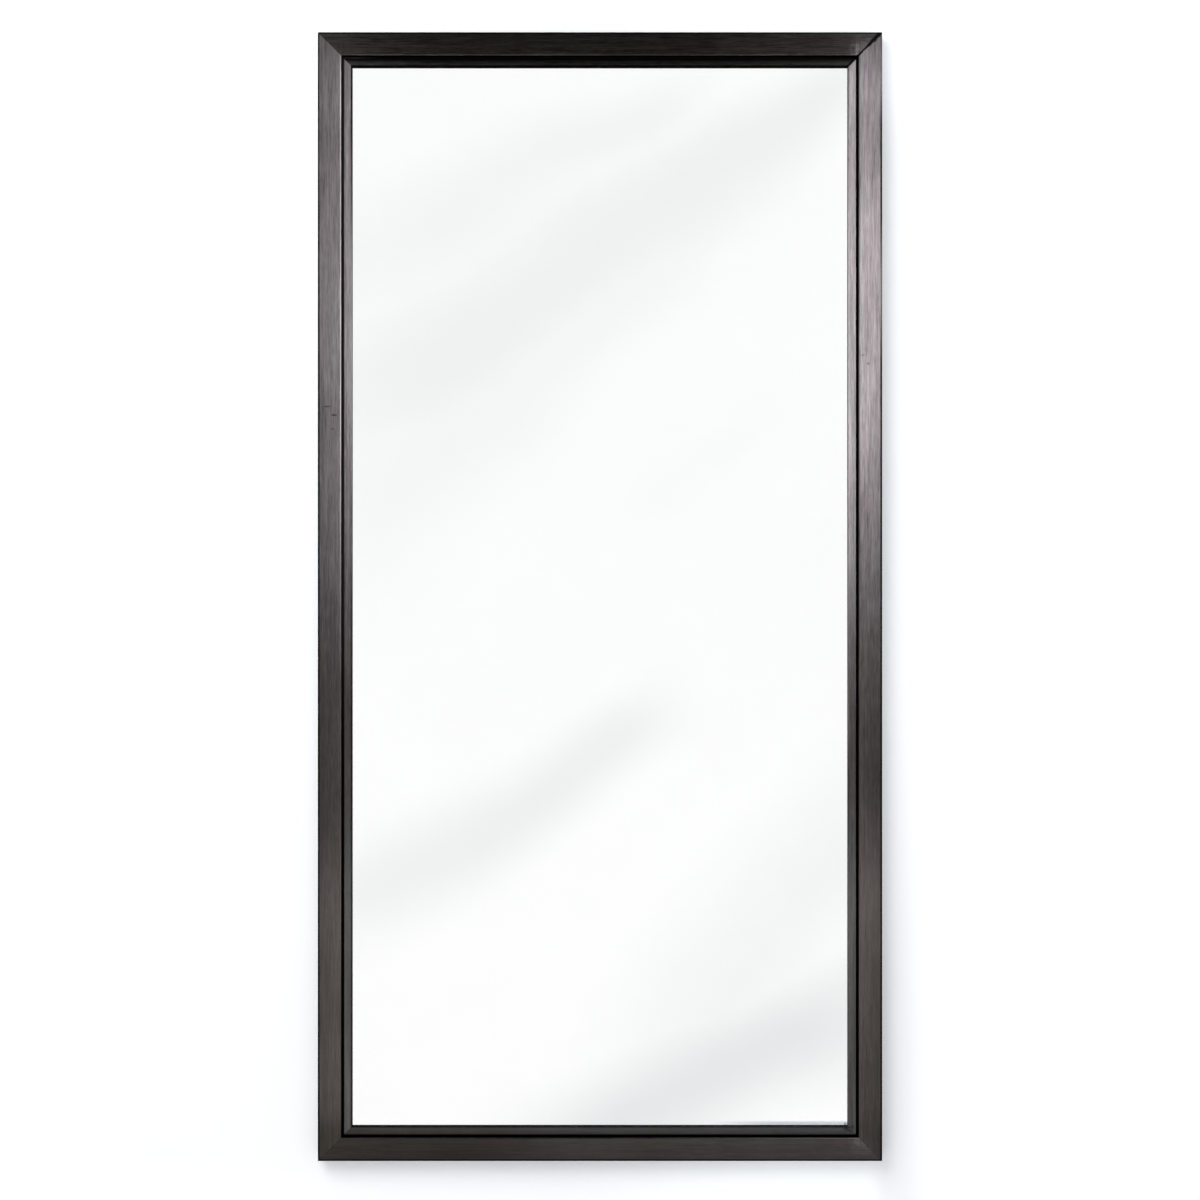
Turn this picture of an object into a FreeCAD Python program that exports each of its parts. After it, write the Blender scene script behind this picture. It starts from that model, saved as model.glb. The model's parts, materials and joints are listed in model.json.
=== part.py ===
import FreeCAD, Part
import math
import os

# Rectangular wall mirror in a mitred frame of brushed steel tube.
# Lengths are millimetres. The wall is the plane y = 0, the front faces -Y and +Z is up.
# The origin is the middle of the mirror's outline, on the wall.
# Left and right are as seen from the front.

# Outline of the frame
frame_width = 914.4
frame_height = 1828.8

# Rectangular steel tube of the outer frame
tube_face = 38.1
tube_depth = 25.4
tube_wall = 1.5
tube_corner_radius = 2.5
tube_inner_radius = 1.0

# Shadow gap between the tube and the inner liner, closed by a strip at its foot
reveal_width = 4.0
reveal_strip_depth = 9.5

# Steel angle that lines the tube and holds the glass from the front
liner_lip = 12.7
liner_thickness = 3.2
liner_setback = 6.0
liner_edge_radius = 0.6

# Glass and the layers behind it
glass_thickness = 6.0
glass_arris = 0.8
glass_edge_gap = 2.0
silver_thickness = 0.1
film_thickness = 0.15
film_inset = 3.0
foam_thickness = 2.0
foam_inset = 4.0
board_edge_gap = 1.5

# Tape between the lip and the glass
tape_width = 6.0
tape_thickness = 1.6
tape_edge_gap = 0.3

# Rubber blocks that carry the glass, and shims that centre it
block_length = 60.0
block_height_gap = 0.1
block_share = 0.5
shim_length = 25.0
shim_side_gap = 0.2
shim_share = 0.6

# Socket screws, the same length everywhere
screw_radius = 2.0
screw_length = 10.0
screw_tip_chamfer = 0.4
screw_head_radius = 3.8
screw_head_height = 2.2
screw_head_rim = 0.5
socket_across_flats = 2.5
socket_sides = 6
socket_depth = 1.3

# Countersunk rivet nuts set in the tube's back wall
nut_body_radius = 3.0
nut_head_radius = 4.0
nut_head_depth = 1.0
nut_bulge_radius = 4.4
nut_bulge_length = 2.4
nut_length = 9.0
thread_gap = 0.03
nut_hole_gap = 0.05

# Turn buttons that hold the backing board
button_pivot_radius = 7.0
button_tip_radius = 4.5
button_reach = 26.5
button_thickness = 1.5
button_pivot_inset = 28.0
button_edge_radius = 0.3
button_running_gap = 0.05
button_end_play = 0.1
button_washer_radius = 5.0
button_washer_thickness = 0.5
washer_bore_gap = 0.1
stile_button_shares = (0.8, 0.27, -0.27, -0.8)
rail_button_shares = (0.5, -0.5)

# Strap hangers with a D ring, one on each stile
strap_width = 17.0
strap_sheet = 1.2
strap_length = 54.0
strap_corner_radius = 4.0
strap_bend_drop = 9.0
strap_hole_gap = 0.2
strap_first_hole_drop = 31.0
strap_hole_pitch = 14.0
hanger_height_share = 0.6
ring_wire_radius = 2.0
ring_running_gap = 0.05
ring_half_width = 14.0
ring_corner_radius = 5.0
ring_arm_drop = 8.0
ring_rest_gap = 0.3

# Rubber bumpers that hold the frame off the wall
bumper_height = 8.0
bumper_base_radius = 9.0
bumper_face_radius = 8.0
bumper_edge_radius = 0.8
bumper_floor = 3.0
bumper_head_gap = 0.8
bumper_bore_gap = 0.2
bumper_end_distance = 62.0

# Length by which every cutting tool runs past what it cuts
overrun = 5.0

# Planes, from the wall forward
tube_back = -bumper_height
tube_front = tube_back - tube_depth
liner_front = tube_front + liner_setback
liner_rear = liner_front + liner_thickness
glass_front = liner_rear + tape_thickness
glass_rear = glass_front + glass_thickness
silver_rear = glass_rear + silver_thickness
film_rear = silver_rear + film_thickness
foam_rear = film_rear + foam_thickness
button_front = tube_back + button_washer_thickness + button_end_play
button_rear = button_front + button_thickness

# Distances inward from the frame's outer edge
liner_outer = tube_face + reveal_width
liner_leg_inner = liner_outer + liner_thickness
sight_edge = liner_outer + liner_lip
glass_edge = liner_leg_inner + glass_edge_gap
board_edge = liner_leg_inner + board_edge_gap

# Each side's turn about Y from the left side, in degrees
side_angles = {"left": 0, "right": 180, "top": 90, "bottom": -90}
frame_bar_names = {
    "left": "left_stile",
    "right": "right_stile",
    "top": "top_rail",
    "bottom": "bottom_rail",
}
stile_sides = ("left", "right")
axis_y = FreeCAD.Vector(0, 1, 0)


def vec(x, y, z):
    return FreeCAD.Vector(x, y, z)


def half_run(side):
    """Half of the frame's outline along the given side."""
    if side in stile_sides:
        return frame_height / 2
    return frame_width / 2


def half_span(side):
    """Distance from the middle of the frame to the given side's outer edge."""
    if side in stile_sides:
        return frame_width / 2
    return frame_height / 2


def turned_to(shape, side):
    """A shape made for the left side, turned to the given side."""
    turned = shape.copy()
    turned.rotate(vec(0, 0, 0), axis_y, side_angles[side])
    return turned


def side_point(side, inset, along):
    """The point at an inset from a side's outer edge, at y = 0."""
    turn = FreeCAD.Rotation(axis_y, side_angles[side])
    return turn.multVec(vec(inset - half_span(side), 0, along))


def along_at_height(side, height):
    """The place along a stile that lies at a height. The right stile runs downward."""
    if side == "left":
        return height
    return -height


def moved(shape, point):
    copy = shape.copy()
    copy.translate(point)
    return copy


def box_between(x0, x1, y0, y1, z0, z1):
    return Part.makeBox(x1 - x0, y1 - y0, z1 - z0, vec(x0, y0, z0))


def polygon_face(points):
    return Part.Face(Part.makePolygon(points + [points[0]]))


def turned_solid(profile):
    """A solid turned about the Y axis from (radius, y) points, closed along the axis."""
    points = [vec(radius, y, 0) for radius, y in profile]
    return polygon_face(points).revolve(vec(0, 0, 0), axis_y, 360)


def cylinder_y(radius, y0, y1):
    return Part.makeCylinder(radius, y1 - y0, vec(0, y0, 0), axis_y)


# Bars of the frame

def mitre_prism(side):
    """The block of space that belongs to one side, ending in two 45 degree planes."""
    half_across = half_span(side)
    half_along = half_run(side)
    outer = half_across + overrun
    inner = half_across - sight_edge - overrun
    end_out = half_along + overrun
    end_in = half_along - sight_edge - overrun
    outline = [
        vec(-outer, tube_front - overrun, -end_out),
        vec(-outer, tube_front - overrun, end_out),
        vec(-inner, tube_front - overrun, end_in),
        vec(-inner, tube_front - overrun, -end_in),
    ]
    return polygon_face(outline).extrude(vec(0, tube_depth + bumper_height + overrun, 0))


def mitred_bar(section, side):
    """A bar from a section drawn at the left edge, run along the side and mitred."""
    half_across = half_span(side)
    half_along = half_run(side)
    run = section.copy()
    run.translate(vec(-half_across, 0, -half_along))
    bar = run.extrude(vec(0, 0, half_along * 2))
    return turned_to(bar.common(mitre_prism(side)), side)


def rounded_rectangle(x0, x1, y0, y1, radius):
    """A closed wire in the plane z = 0 with four round corners."""
    corner_share = 1 - math.sqrt(0.5)
    nick = radius * corner_share
    edges = []
    corners = [
        (vec(x1 - radius, y0, 0), vec(x1 - nick, y0 + nick, 0), vec(x1, y0 + radius, 0)),
        (vec(x1, y1 - radius, 0), vec(x1 - nick, y1 - nick, 0), vec(x1 - radius, y1, 0)),
        (vec(x0 + radius, y1, 0), vec(x0 + nick, y1 - nick, 0), vec(x0, y1 - radius, 0)),
        (vec(x0, y0 + radius, 0), vec(x0 + nick, y0 + nick, 0), vec(x0 + radius, y0, 0)),
    ]
    for index, (start, middle, end) in enumerate(corners):
        following = corners[(index + 1) % len(corners)][0]
        edges.append(Part.Arc(start, middle, end).toShape())
        edges.append(Part.LineSegment(end, following).toShape())
    return Part.Wire(edges)


def tube_section():
    outer = rounded_rectangle(0, tube_face, tube_front, tube_back, tube_corner_radius)
    inner = rounded_rectangle(
        tube_wall,
        tube_face - tube_wall,
        tube_front + tube_wall,
        tube_back - tube_wall,
        tube_inner_radius,
    )
    return Part.Face(outer).cut(Part.Face(inner))


def rivet_nut_hole():
    """Cutter for one countersunk hole through the tube's back wall."""
    head = nut_head_radius + nut_hole_gap
    body = nut_body_radius + nut_hole_gap
    return turned_solid([
        (0, tube_back + overrun),
        (head, tube_back + overrun),
        (head, tube_back),
        (body, tube_back - nut_head_depth),
        (body, tube_back - tube_wall - overrun),
        (0, tube_back - tube_wall - overrun),
    ])


def outer_bar(side):
    """A stile or rail of tube, with a hole for each rivet nut in its back wall."""
    bar = mitred_bar(tube_section(), side)
    hole = rivet_nut_hole()
    for point in fastener_points(side):
        bar = bar.cut(moved(hole, point))
    return bar


def liner_bar(side):
    """A steel angle: its lip shows in front, its leg runs back beside the glass."""
    section = polygon_face([
        vec(liner_outer, liner_front, 0),
        vec(sight_edge, liner_front, 0),
        vec(sight_edge, liner_rear, 0),
        vec(liner_leg_inner, liner_rear, 0),
        vec(liner_leg_inner, tube_back, 0),
        vec(liner_outer, tube_back, 0),
    ])
    half_across = half_span(side)
    half_along = half_run(side)
    section.translate(vec(-half_across, 0, -half_along))
    run = section.extrude(vec(0, 0, half_along * 2))
    front_edges = [
        edge for edge in run.Edges
        if abs(edge.BoundBox.ZLength - half_along * 2) < overrun
        and abs(edge.BoundBox.YMax - liner_front) < liner_edge_radius
    ]
    eased = run.makeFillet(liner_edge_radius, front_edges)
    return turned_to(eased.common(mitre_prism(side)), side)


def reveal_strip(side):
    """A flat strip that joins the liner to the tube and closes the shadow gap."""
    strip_rear = tube_back - tube_corner_radius
    section = polygon_face([
        vec(tube_face, strip_rear - reveal_strip_depth, 0),
        vec(liner_outer, strip_rear - reveal_strip_depth, 0),
        vec(liner_outer, strip_rear, 0),
        vec(tube_face, strip_rear, 0),
    ])
    return mitred_bar(section, side)


# Glass and the layers behind it

def glazing_tape(side):
    """Tape under the lip. The upright tapes stop against the two level ones."""
    inset = glass_edge + tape_edge_gap
    half_across = half_span(side) - inset
    half_along = half_run(side) - inset
    if side in stile_sides:
        half_along = half_along - tape_width
    tape = box_between(
        -half_across,
        tape_width - half_across,
        liner_rear,
        glass_front,
        -half_along,
        half_along,
    )
    return turned_to(tape, side)


def layer(edge_inset, y_front, y_rear):
    """A flat sheet set in from the frame's outer edge all round."""
    half_w = frame_width / 2 - edge_inset
    half_h = frame_height / 2 - edge_inset
    return box_between(-half_w, half_w, y_front, y_rear, -half_h, half_h)


def mirror_glass():
    glass = layer(glass_edge, glass_front, glass_rear)
    rim_edges = [edge for edge in glass.Edges if edge.BoundBox.YLength < glass_arris]
    return glass.makeChamfer(glass_arris, rim_edges)


def silver_coat():
    return layer(glass_edge + glass_arris, glass_rear, silver_rear)


def safety_film():
    return layer(glass_edge + film_inset, silver_rear, film_rear)


def foam_sheet():
    return layer(glass_edge + foam_inset, film_rear, foam_rear)


def backing_board():
    return layer(board_edge, foam_rear, tube_back)


def edge_piece(side, length, thickness, along):
    """A rubber piece between the glass's edge and the liner's leg."""
    half_across = half_span(side)
    piece = box_between(
        liner_leg_inner - half_across,
        liner_leg_inner + thickness - half_across,
        glass_front + glass_arris,
        glass_rear - glass_arris,
        along - length / 2,
        along + length / 2,
    )
    return turned_to(piece, side)


def setting_blocks():
    reach = half_run("bottom") * block_share
    thickness = glass_edge_gap - block_height_gap
    return [edge_piece("bottom", block_length, thickness, along) for along in (-reach, reach)]


def edge_shims():
    thickness = glass_edge_gap - shim_side_gap
    pieces = []
    for side in ("left", "right", "top"):
        reach = half_run(side) * shim_share
        for along in (-reach, reach):
            pieces.append(edge_piece(side, shim_length, thickness, along))
    return pieces


# Fasteners

def button_alongs(side):
    if side in stile_sides:
        return [share * half_run(side) for share in stile_button_shares]
    return [share * half_run(side) for share in rail_button_shares]


def button_points(side):
    return [side_point(side, button_pivot_inset, along) for along in button_alongs(side)]


def bumper_points(side):
    reach = half_run(side) - bumper_end_distance
    return [side_point(side, tube_face / 2, along) for along in (reach, -reach)]


def hanger_pivot(side):
    along = along_at_height(side, frame_height / 2 * hanger_height_share)
    return side_point(side, tube_face / 2, along)


def hanger_screw_points(side):
    pivot = hanger_pivot(side)
    drops = (strap_first_hole_drop, strap_first_hole_drop + strap_hole_pitch)
    return [pivot - vec(0, 0, drop) for drop in drops]


def fastener_points(side):
    points = button_points(side)
    if side in stile_sides:
        points = points + bumper_points(side) + hanger_screw_points(side)
    return points


def socket_screw(seat):
    """A screw along Y, its head's underside at y = seat and its shank towards the front."""
    tip = seat - screw_length
    rim = seat + screw_head_rim
    crown = seat + screw_head_height
    crown_radius = screw_head_radius - screw_head_height / 2
    bend = vec(screw_head_radius - screw_head_rim / 2, (rim + crown) / 2 + screw_head_rim / 2, 0)
    outline = [
        Part.LineSegment(vec(0, tip, 0), vec(screw_radius - screw_tip_chamfer, tip, 0)),
        Part.LineSegment(
            vec(screw_radius - screw_tip_chamfer, tip, 0),
            vec(screw_radius, tip + screw_tip_chamfer, 0),
        ),
        Part.LineSegment(vec(screw_radius, tip + screw_tip_chamfer, 0), vec(screw_radius, seat, 0)),
        Part.LineSegment(vec(screw_radius, seat, 0), vec(screw_head_radius, seat, 0)),
        Part.LineSegment(vec(screw_head_radius, seat, 0), vec(screw_head_radius, rim, 0)),
        Part.Arc(vec(screw_head_radius, rim, 0), bend, vec(crown_radius, crown, 0)),
        Part.LineSegment(vec(crown_radius, crown, 0), vec(0, crown, 0)),
        Part.LineSegment(vec(0, crown, 0), vec(0, tip, 0)),
    ]
    face = Part.Face(Part.Wire([edge.toShape() for edge in outline]))
    body = face.revolve(vec(0, 0, 0), axis_y, 360)
    corner = socket_across_flats / 2 / math.cos(math.pi / socket_sides)
    corners = []
    for step in range(socket_sides):
        angle = math.tau * step / socket_sides
        corners.append(vec(corner * math.cos(angle), crown - socket_depth, corner * math.sin(angle)))
    socket = polygon_face(corners).extrude(vec(0, socket_depth + overrun, 0))
    return body.cut(socket)


def rivet_nut():
    """A set rivet nut: countersunk head, threaded body and the bulge behind the wall."""
    bore = screw_radius + thread_gap
    bulge_front = tube_back - tube_wall - nut_bulge_length
    bulge_middle = tube_back - tube_wall - nut_bulge_length / 2
    return turned_solid([
        (bore, tube_back),
        (nut_head_radius, tube_back),
        (nut_body_radius, tube_back - nut_head_depth),
        (nut_body_radius, tube_back - tube_wall),
        (nut_bulge_radius, bulge_middle),
        (nut_body_radius, bulge_front),
        (nut_body_radius, tube_back - nut_length),
        (bore, tube_back - nut_length),
    ])


def button_washer():
    outer = cylinder_y(button_washer_radius, tube_back, tube_back + button_washer_thickness)
    bore = cylinder_y(screw_radius + washer_bore_gap, tube_back - overrun, tube_back + overrun)
    return outer.cut(bore)


def turn_button():
    """A tapered plate that turns on its screw, made pointing along +X."""
    tip_centre = button_reach - button_tip_radius
    lean = math.acos((button_pivot_radius - button_tip_radius) / tip_centre)
    cosine = math.cos(lean)
    sine = math.sin(lean)
    big_low = vec(button_pivot_radius * cosine, button_front, -button_pivot_radius * sine)
    big_high = vec(button_pivot_radius * cosine, button_front, button_pivot_radius * sine)
    small_low = vec(
        tip_centre + button_tip_radius * cosine, button_front, -button_tip_radius * sine
    )
    small_high = vec(
        tip_centre + button_tip_radius * cosine, button_front, button_tip_radius * sine
    )
    edges = [
        Part.Arc(big_high, vec(-button_pivot_radius, button_front, 0), big_low),
        Part.LineSegment(big_low, small_low),
        Part.Arc(small_low, vec(button_reach, button_front, 0), small_high),
        Part.LineSegment(small_high, big_high),
    ]
    outline = Part.Wire([edge.toShape() for edge in edges])
    plate = Part.Face(outline).extrude(vec(0, button_thickness, 0))
    rear_edges = [edge for edge in plate.Edges if edge.BoundBox.YMin > button_rear - button_edge_radius]
    plate = plate.makeFillet(button_edge_radius, rear_edges)
    bore_radius = screw_radius + button_running_gap
    return plate.cut(cylinder_y(bore_radius, button_front - overrun, button_rear + overrun))


# Strap hangers

ring_pivot_y = tube_back + strap_sheet + ring_wire_radius + ring_running_gap
strap_leaf_rear = tube_back + strap_sheet * 2


def hanger_strap():
    """A folded strap, its eye at the top around the ring's straight bar at z = 0."""
    eye_inner = ring_wire_radius + ring_running_gap
    eye_outer = eye_inner + strap_sheet
    half_width = strap_width / 2
    width_run = vec(strap_width, 0, 0)
    back_leaf = box_between(
        -half_width, half_width, tube_back, tube_back + strap_sheet, -strap_length, 0
    )
    front_leaf = box_between(
        -half_width,
        half_width,
        tube_back + strap_sheet,
        strap_leaf_rear,
        -strap_length,
        -strap_bend_drop,
    )
    eye = Part.makeCylinder(
        eye_outer, strap_width, vec(-half_width, ring_pivot_y, 0), vec(1, 0, 0)
    )
    # The strap leaves the eye along a tangent and comes down onto its own back leaf.
    drop_y = strap_leaf_rear - ring_pivot_y
    reach = math.hypot(drop_y, strap_bend_drop)
    touch = math.atan2(-strap_bend_drop, drop_y) + math.acos(eye_outer / reach)
    leave = vec(-half_width, ring_pivot_y + eye_outer * math.cos(touch), eye_outer * math.sin(touch))
    land = vec(-half_width, strap_leaf_rear, -strap_bend_drop)
    web = polygon_face([
        leave,
        land,
        vec(-half_width, tube_back + strap_sheet, -strap_bend_drop),
        vec(-half_width, tube_back + strap_sheet, 0),
        vec(-half_width, ring_pivot_y, 0),
    ]).extrude(width_run)
    strap = back_leaf.fuse([front_leaf, eye, web]).removeSplitter()
    end_edges = [
        edge for edge in strap.Edges
        if edge.BoundBox.ZMax < strap_corner_radius - strap_length
        and edge.BoundBox.YLength > strap_sheet
    ]
    strap = strap.makeFillet(strap_corner_radius, end_edges)
    bore = Part.makeCylinder(
        eye_inner,
        strap_width + overrun * 2,
        vec(-half_width - overrun, ring_pivot_y, 0),
        vec(1, 0, 0),
    )
    strap = strap.cut(bore)
    hole = cylinder_y(screw_radius + strap_hole_gap, tube_back - overrun, overrun)
    for drop in (strap_first_hole_drop, strap_first_hole_drop + strap_hole_pitch):
        strap = strap.cut(moved(hole, vec(0, 0, -drop)))
    return strap


def ring_rest_tilt():
    """Angle at which the hanging ring lies just clear of the strap's leaf."""
    rise = strap_leaf_rear + ring_wire_radius + ring_rest_gap - ring_pivot_y
    return math.degrees(math.asin(rise / (ring_arm_drop + ring_half_width)))


def hanger_ring():
    """A D ring of round wire, its straight bar on the pivot, hanging down the strap."""
    corner_x = ring_half_width - ring_corner_radius
    across = vec(1, 0, 0)
    down = vec(0, 0, -1)
    bar = Part.makeCylinder(ring_wire_radius, corner_x * 2, vec(-corner_x, 0, 0), across)
    pieces = []
    for sign in (-1, 1):
        # Each corner is a quarter of a torus whose axis is Y.
        corner = Part.makeTorus(
            ring_corner_radius,
            ring_wire_radius,
            vec(sign * corner_x, 0, -ring_corner_radius),
            axis_y,
        )
        keep_x = sorted((sign * corner_x, sign * (ring_half_width + overrun)))
        keep = box_between(
            keep_x[0], keep_x[1], -overrun, overrun, -ring_corner_radius, overrun
        )
        pieces.append(corner.common(keep))
        pieces.append(Part.makeCylinder(
            ring_wire_radius,
            ring_arm_drop - ring_corner_radius,
            vec(sign * ring_half_width, 0, -ring_corner_radius),
            down,
        ))
    bow = Part.makeTorus(ring_half_width, ring_wire_radius, vec(0, 0, -ring_arm_drop), axis_y)
    outer = ring_half_width + overrun
    bow_keep = box_between(-outer, outer, -overrun, overrun, -ring_arm_drop - outer, -ring_arm_drop)
    pieces.append(bow.common(bow_keep))
    ring = bar.fuse(pieces).removeSplitter()
    ring.rotate(vec(0, 0, 0), across, ring_rest_tilt())
    ring.translate(vec(0, ring_pivot_y, 0))
    return ring


# Wall bumpers

def wall_bumper():
    """A rubber foot with a sunk seat for its screw."""
    head_room = screw_head_radius + bumper_head_gap
    bore = screw_radius + bumper_bore_gap
    seat = tube_back + bumper_floor
    return turned_solid([
        (bore, tube_back),
        (bumper_base_radius, tube_back),
        (bumper_face_radius, -bumper_edge_radius),
        (bumper_face_radius - bumper_edge_radius, 0),
        (head_room, 0),
        (head_room, seat),
        (bore, seat),
    ])


# Writing the sub-parts

def write(name, shape):
    """One file for one node. A list becomes a group of separate solids."""
    if isinstance(shape, list):
        shape = Part.makeCompound(shape)
    if not shape.isValid():
        raise ValueError(name + " is not a valid shape")
    shape.exportStep(os.path.join("parts", name + ".step"))
    print(name, len(shape.Solids), "solids", round(shape.Volume / 1000, 3), "cm3")


def write_frame():
    for side in side_angles:
        write(frame_bar_names[side], outer_bar(side))
        write("liner_" + side, liner_bar(side))
        write("reveal_strip_" + side, reveal_strip(side))
        write("glazing_tape_" + side, glazing_tape(side))


def write_glazing():
    write("mirror_glass", mirror_glass())
    write("silver_coat", silver_coat())
    write("safety_film", safety_film())
    write("foam_sheet", foam_sheet())
    write("backing_board", backing_board())
    write("setting_blocks", setting_blocks())
    write("edge_shims", edge_shims())


def write_turn_buttons():
    button = turn_button()
    washer = button_washer()
    screw = socket_screw(button_rear + button_end_play)
    points = []
    for side in side_angles:
        for number, point in enumerate(button_points(side), 1):
            write("turn_button_" + side + "_" + str(number), moved(turned_to(button, side), point))
            points.append(point)
    write("turn_button_washers", [moved(washer, point) for point in points])
    write("turn_button_screws", [moved(screw, point) for point in points])


def write_hangers():
    strap = hanger_strap()
    ring = hanger_ring()
    screw = socket_screw(strap_leaf_rear)
    screws = []
    for side in stile_sides:
        write("hanger_strap_" + side, moved(strap, hanger_pivot(side)))
        write("hanger_ring_" + side, moved(ring, hanger_pivot(side)))
        screws = screws + [moved(screw, point) for point in hanger_screw_points(side)]
    write("hanger_screws", screws)


def write_bumpers():
    bumper = wall_bumper()
    screw = socket_screw(tube_back + bumper_floor)
    screws = []
    for side in stile_sides:
        for point in bumper_points(side):
            level = "upper" if point.z > 0 else "lower"
            write("wall_bumper_" + level + "_" + side, moved(bumper, point))
            screws.append(moved(screw, point))
    write("bumper_screws", screws)


def write_rivet_nuts():
    nut = rivet_nut()
    nuts = [moved(nut, point) for side in side_angles for point in fastener_points(side)]
    write("rivet_nuts", nuts)


def main():
    os.makedirs("parts", exist_ok=True)
    write_frame()
    write_glazing()
    write_turn_buttons()
    write_hangers()
    write_bumpers()
    write_rivet_nuts()


main()
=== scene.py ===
import json
import math

import bmesh
import bpy
from bpy.props import FloatProperty, FloatVectorProperty, IntProperty, PointerProperty
from bpy.types import Operator, Panel, PropertyGroup
from mathutils import Matrix, Vector


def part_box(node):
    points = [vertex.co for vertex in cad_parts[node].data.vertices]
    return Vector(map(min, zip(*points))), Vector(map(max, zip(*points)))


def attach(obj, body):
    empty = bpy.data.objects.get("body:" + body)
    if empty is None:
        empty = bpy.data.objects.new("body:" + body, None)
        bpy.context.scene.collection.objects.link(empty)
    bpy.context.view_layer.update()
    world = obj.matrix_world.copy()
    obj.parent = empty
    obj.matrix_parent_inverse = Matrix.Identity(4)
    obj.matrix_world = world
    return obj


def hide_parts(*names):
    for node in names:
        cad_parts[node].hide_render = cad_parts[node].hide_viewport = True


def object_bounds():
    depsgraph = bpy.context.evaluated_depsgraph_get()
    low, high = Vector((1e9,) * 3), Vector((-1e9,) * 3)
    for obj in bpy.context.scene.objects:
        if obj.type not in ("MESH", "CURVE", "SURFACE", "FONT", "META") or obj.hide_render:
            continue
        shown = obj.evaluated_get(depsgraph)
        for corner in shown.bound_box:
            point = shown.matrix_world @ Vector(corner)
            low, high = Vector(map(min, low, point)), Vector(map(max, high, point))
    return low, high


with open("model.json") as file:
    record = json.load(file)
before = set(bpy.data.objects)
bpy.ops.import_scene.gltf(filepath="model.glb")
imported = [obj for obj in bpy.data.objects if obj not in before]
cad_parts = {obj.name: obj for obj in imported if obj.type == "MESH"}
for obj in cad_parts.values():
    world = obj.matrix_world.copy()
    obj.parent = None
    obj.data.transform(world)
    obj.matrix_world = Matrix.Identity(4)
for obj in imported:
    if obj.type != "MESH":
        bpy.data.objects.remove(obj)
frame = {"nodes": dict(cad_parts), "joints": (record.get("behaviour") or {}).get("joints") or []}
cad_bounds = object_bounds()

bl_info = {
    "name": "Steel framed wall mirror",
    "version": (1, 0, 0),
    "blender": (4, 5, 0),
    "location": "3D View > Sidebar > Mirror",
    "description": "Dresses the CAD frame of a rectangular wall mirror and sets up its studio",
    "category": "Object",
}

# Places read from the frame. Lengths are metres, the wall is y = 0 and the front faces -Y.
SIDES = ("left", "right", "top", "bottom")
STILES = ("left", "right")
SIDE_TURNS = {"left": 0.0, "right": math.pi, "top": math.pi / 2, "bottom": -math.pi / 2}
BARS = {"left": "left_stile", "right": "right_stile", "top": "top_rail", "bottom": "bottom_rail"}
HALF_WIDTH = cad_bounds[1][0]
HALF_HEIGHT = cad_bounds[1][2]
TUBE_LOW, TUBE_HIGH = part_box("left_stile")
TUBE_FACE = TUBE_HIGH.x - TUBE_LOW.x
TUBE_FRONT = TUBE_LOW.y
TUBE_BACK = TUBE_HIGH.y
LINER_LOW, LINER_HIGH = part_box("liner_left")
LINER_OUTER = LINER_LOW.x + HALF_WIDTH
LINER_INNER = LINER_HIGH.x + HALF_WIDTH
LINER_FRONT = LINER_LOW.y
LINER_BACK = LINER_HIGH.y
LINER_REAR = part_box("glazing_tape_left")[0].y
# The lower right corner of the glass that shows
SIGHT_RIGHT = HALF_WIDTH - LINER_INNER
SIGHT_LOW = LINER_INNER - HALF_HEIGHT

# Sizes that the boxes do not give, as in the CAD
TUBE_WALL = 0.0015
TUBE_ROUND = 0.0025
TUBE_INNER_ROUND = 0.001
LINER_THICK = 0.0032
LINER_ROUND = 0.0006

QUARTER_TURN = math.pi / 2
WHITE = (1.0, 1.0, 1.0)


def color_prop(name, description, default):
    return FloatVectorProperty(
        name=name, description=description, subtype="COLOR", size=3, min=0.0, max=1.0, default=default
    )


def number_prop(name, description, default, unit="NONE", **limits):
    return FloatProperty(name=name, description=description, default=default, unit=unit, **limits)


class SteelSettings(PropertyGroup):
    """Colours and grain of the brushed dark steel."""

    # The steel's tone runs from dark through middle to pale as painted reflections of the studio's light
    # along each bar, with random unevenness and the paler ground ends
    pale: color_prop("Pale steel", "Colour where the brushing cut deepest", (0.30, 0.282, 0.288))
    middle: color_prop("Steel", "Colour of most of the steel", (0.19, 0.1755, 0.18))
    dark: color_prop("Dark steel", "Colour where the dark patina is whole", (0.105, 0.0945, 0.0895))
    # The rim colour is painted shade on the rounded edges and the face beside them, standing in for the dark
    # studio that they reflect; it also darkens the seams, specks, rubs and tarnish
    rim: color_prop("Rim", "Colour of the unbrushed rounded edges", (0.007, 0.0066, 0.0066))
    # The next two colours are painted highlights on the left stile's inner edge and the right liner's lip
    worn: color_prop("Worn edge", "Colour of the steel where an edge is worn", (0.41, 0.405, 0.405))
    gleam: color_prop("Gleaming edge", "Colour of the worn edges' brightest stretch", (0.80, 0.79, 0.80))
    warm: color_prop("Warm streaks", "Tint of the streaks that show pinkish", (1.0, 0.965, 0.983))
    cool: color_prop("Cool streaks", "Tint of the streaks that show greenish", (0.972, 0.983, 0.965))
    roughness: number_prop("Roughness", "Roughness of the brushed face", 0.37, min=0.0, max=1.0)
    grain_width: number_prop("Grain width", "Width of one brush streak", 0.0024, "LENGTH")
    grain_length: number_prop("Grain length", "Length of one brush streak", 0.065, "LENGTH")
    grind_reach: number_prop("Grind reach", "Length of the ends that the grinding crosses", 0.062, "LENGTH")


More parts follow.
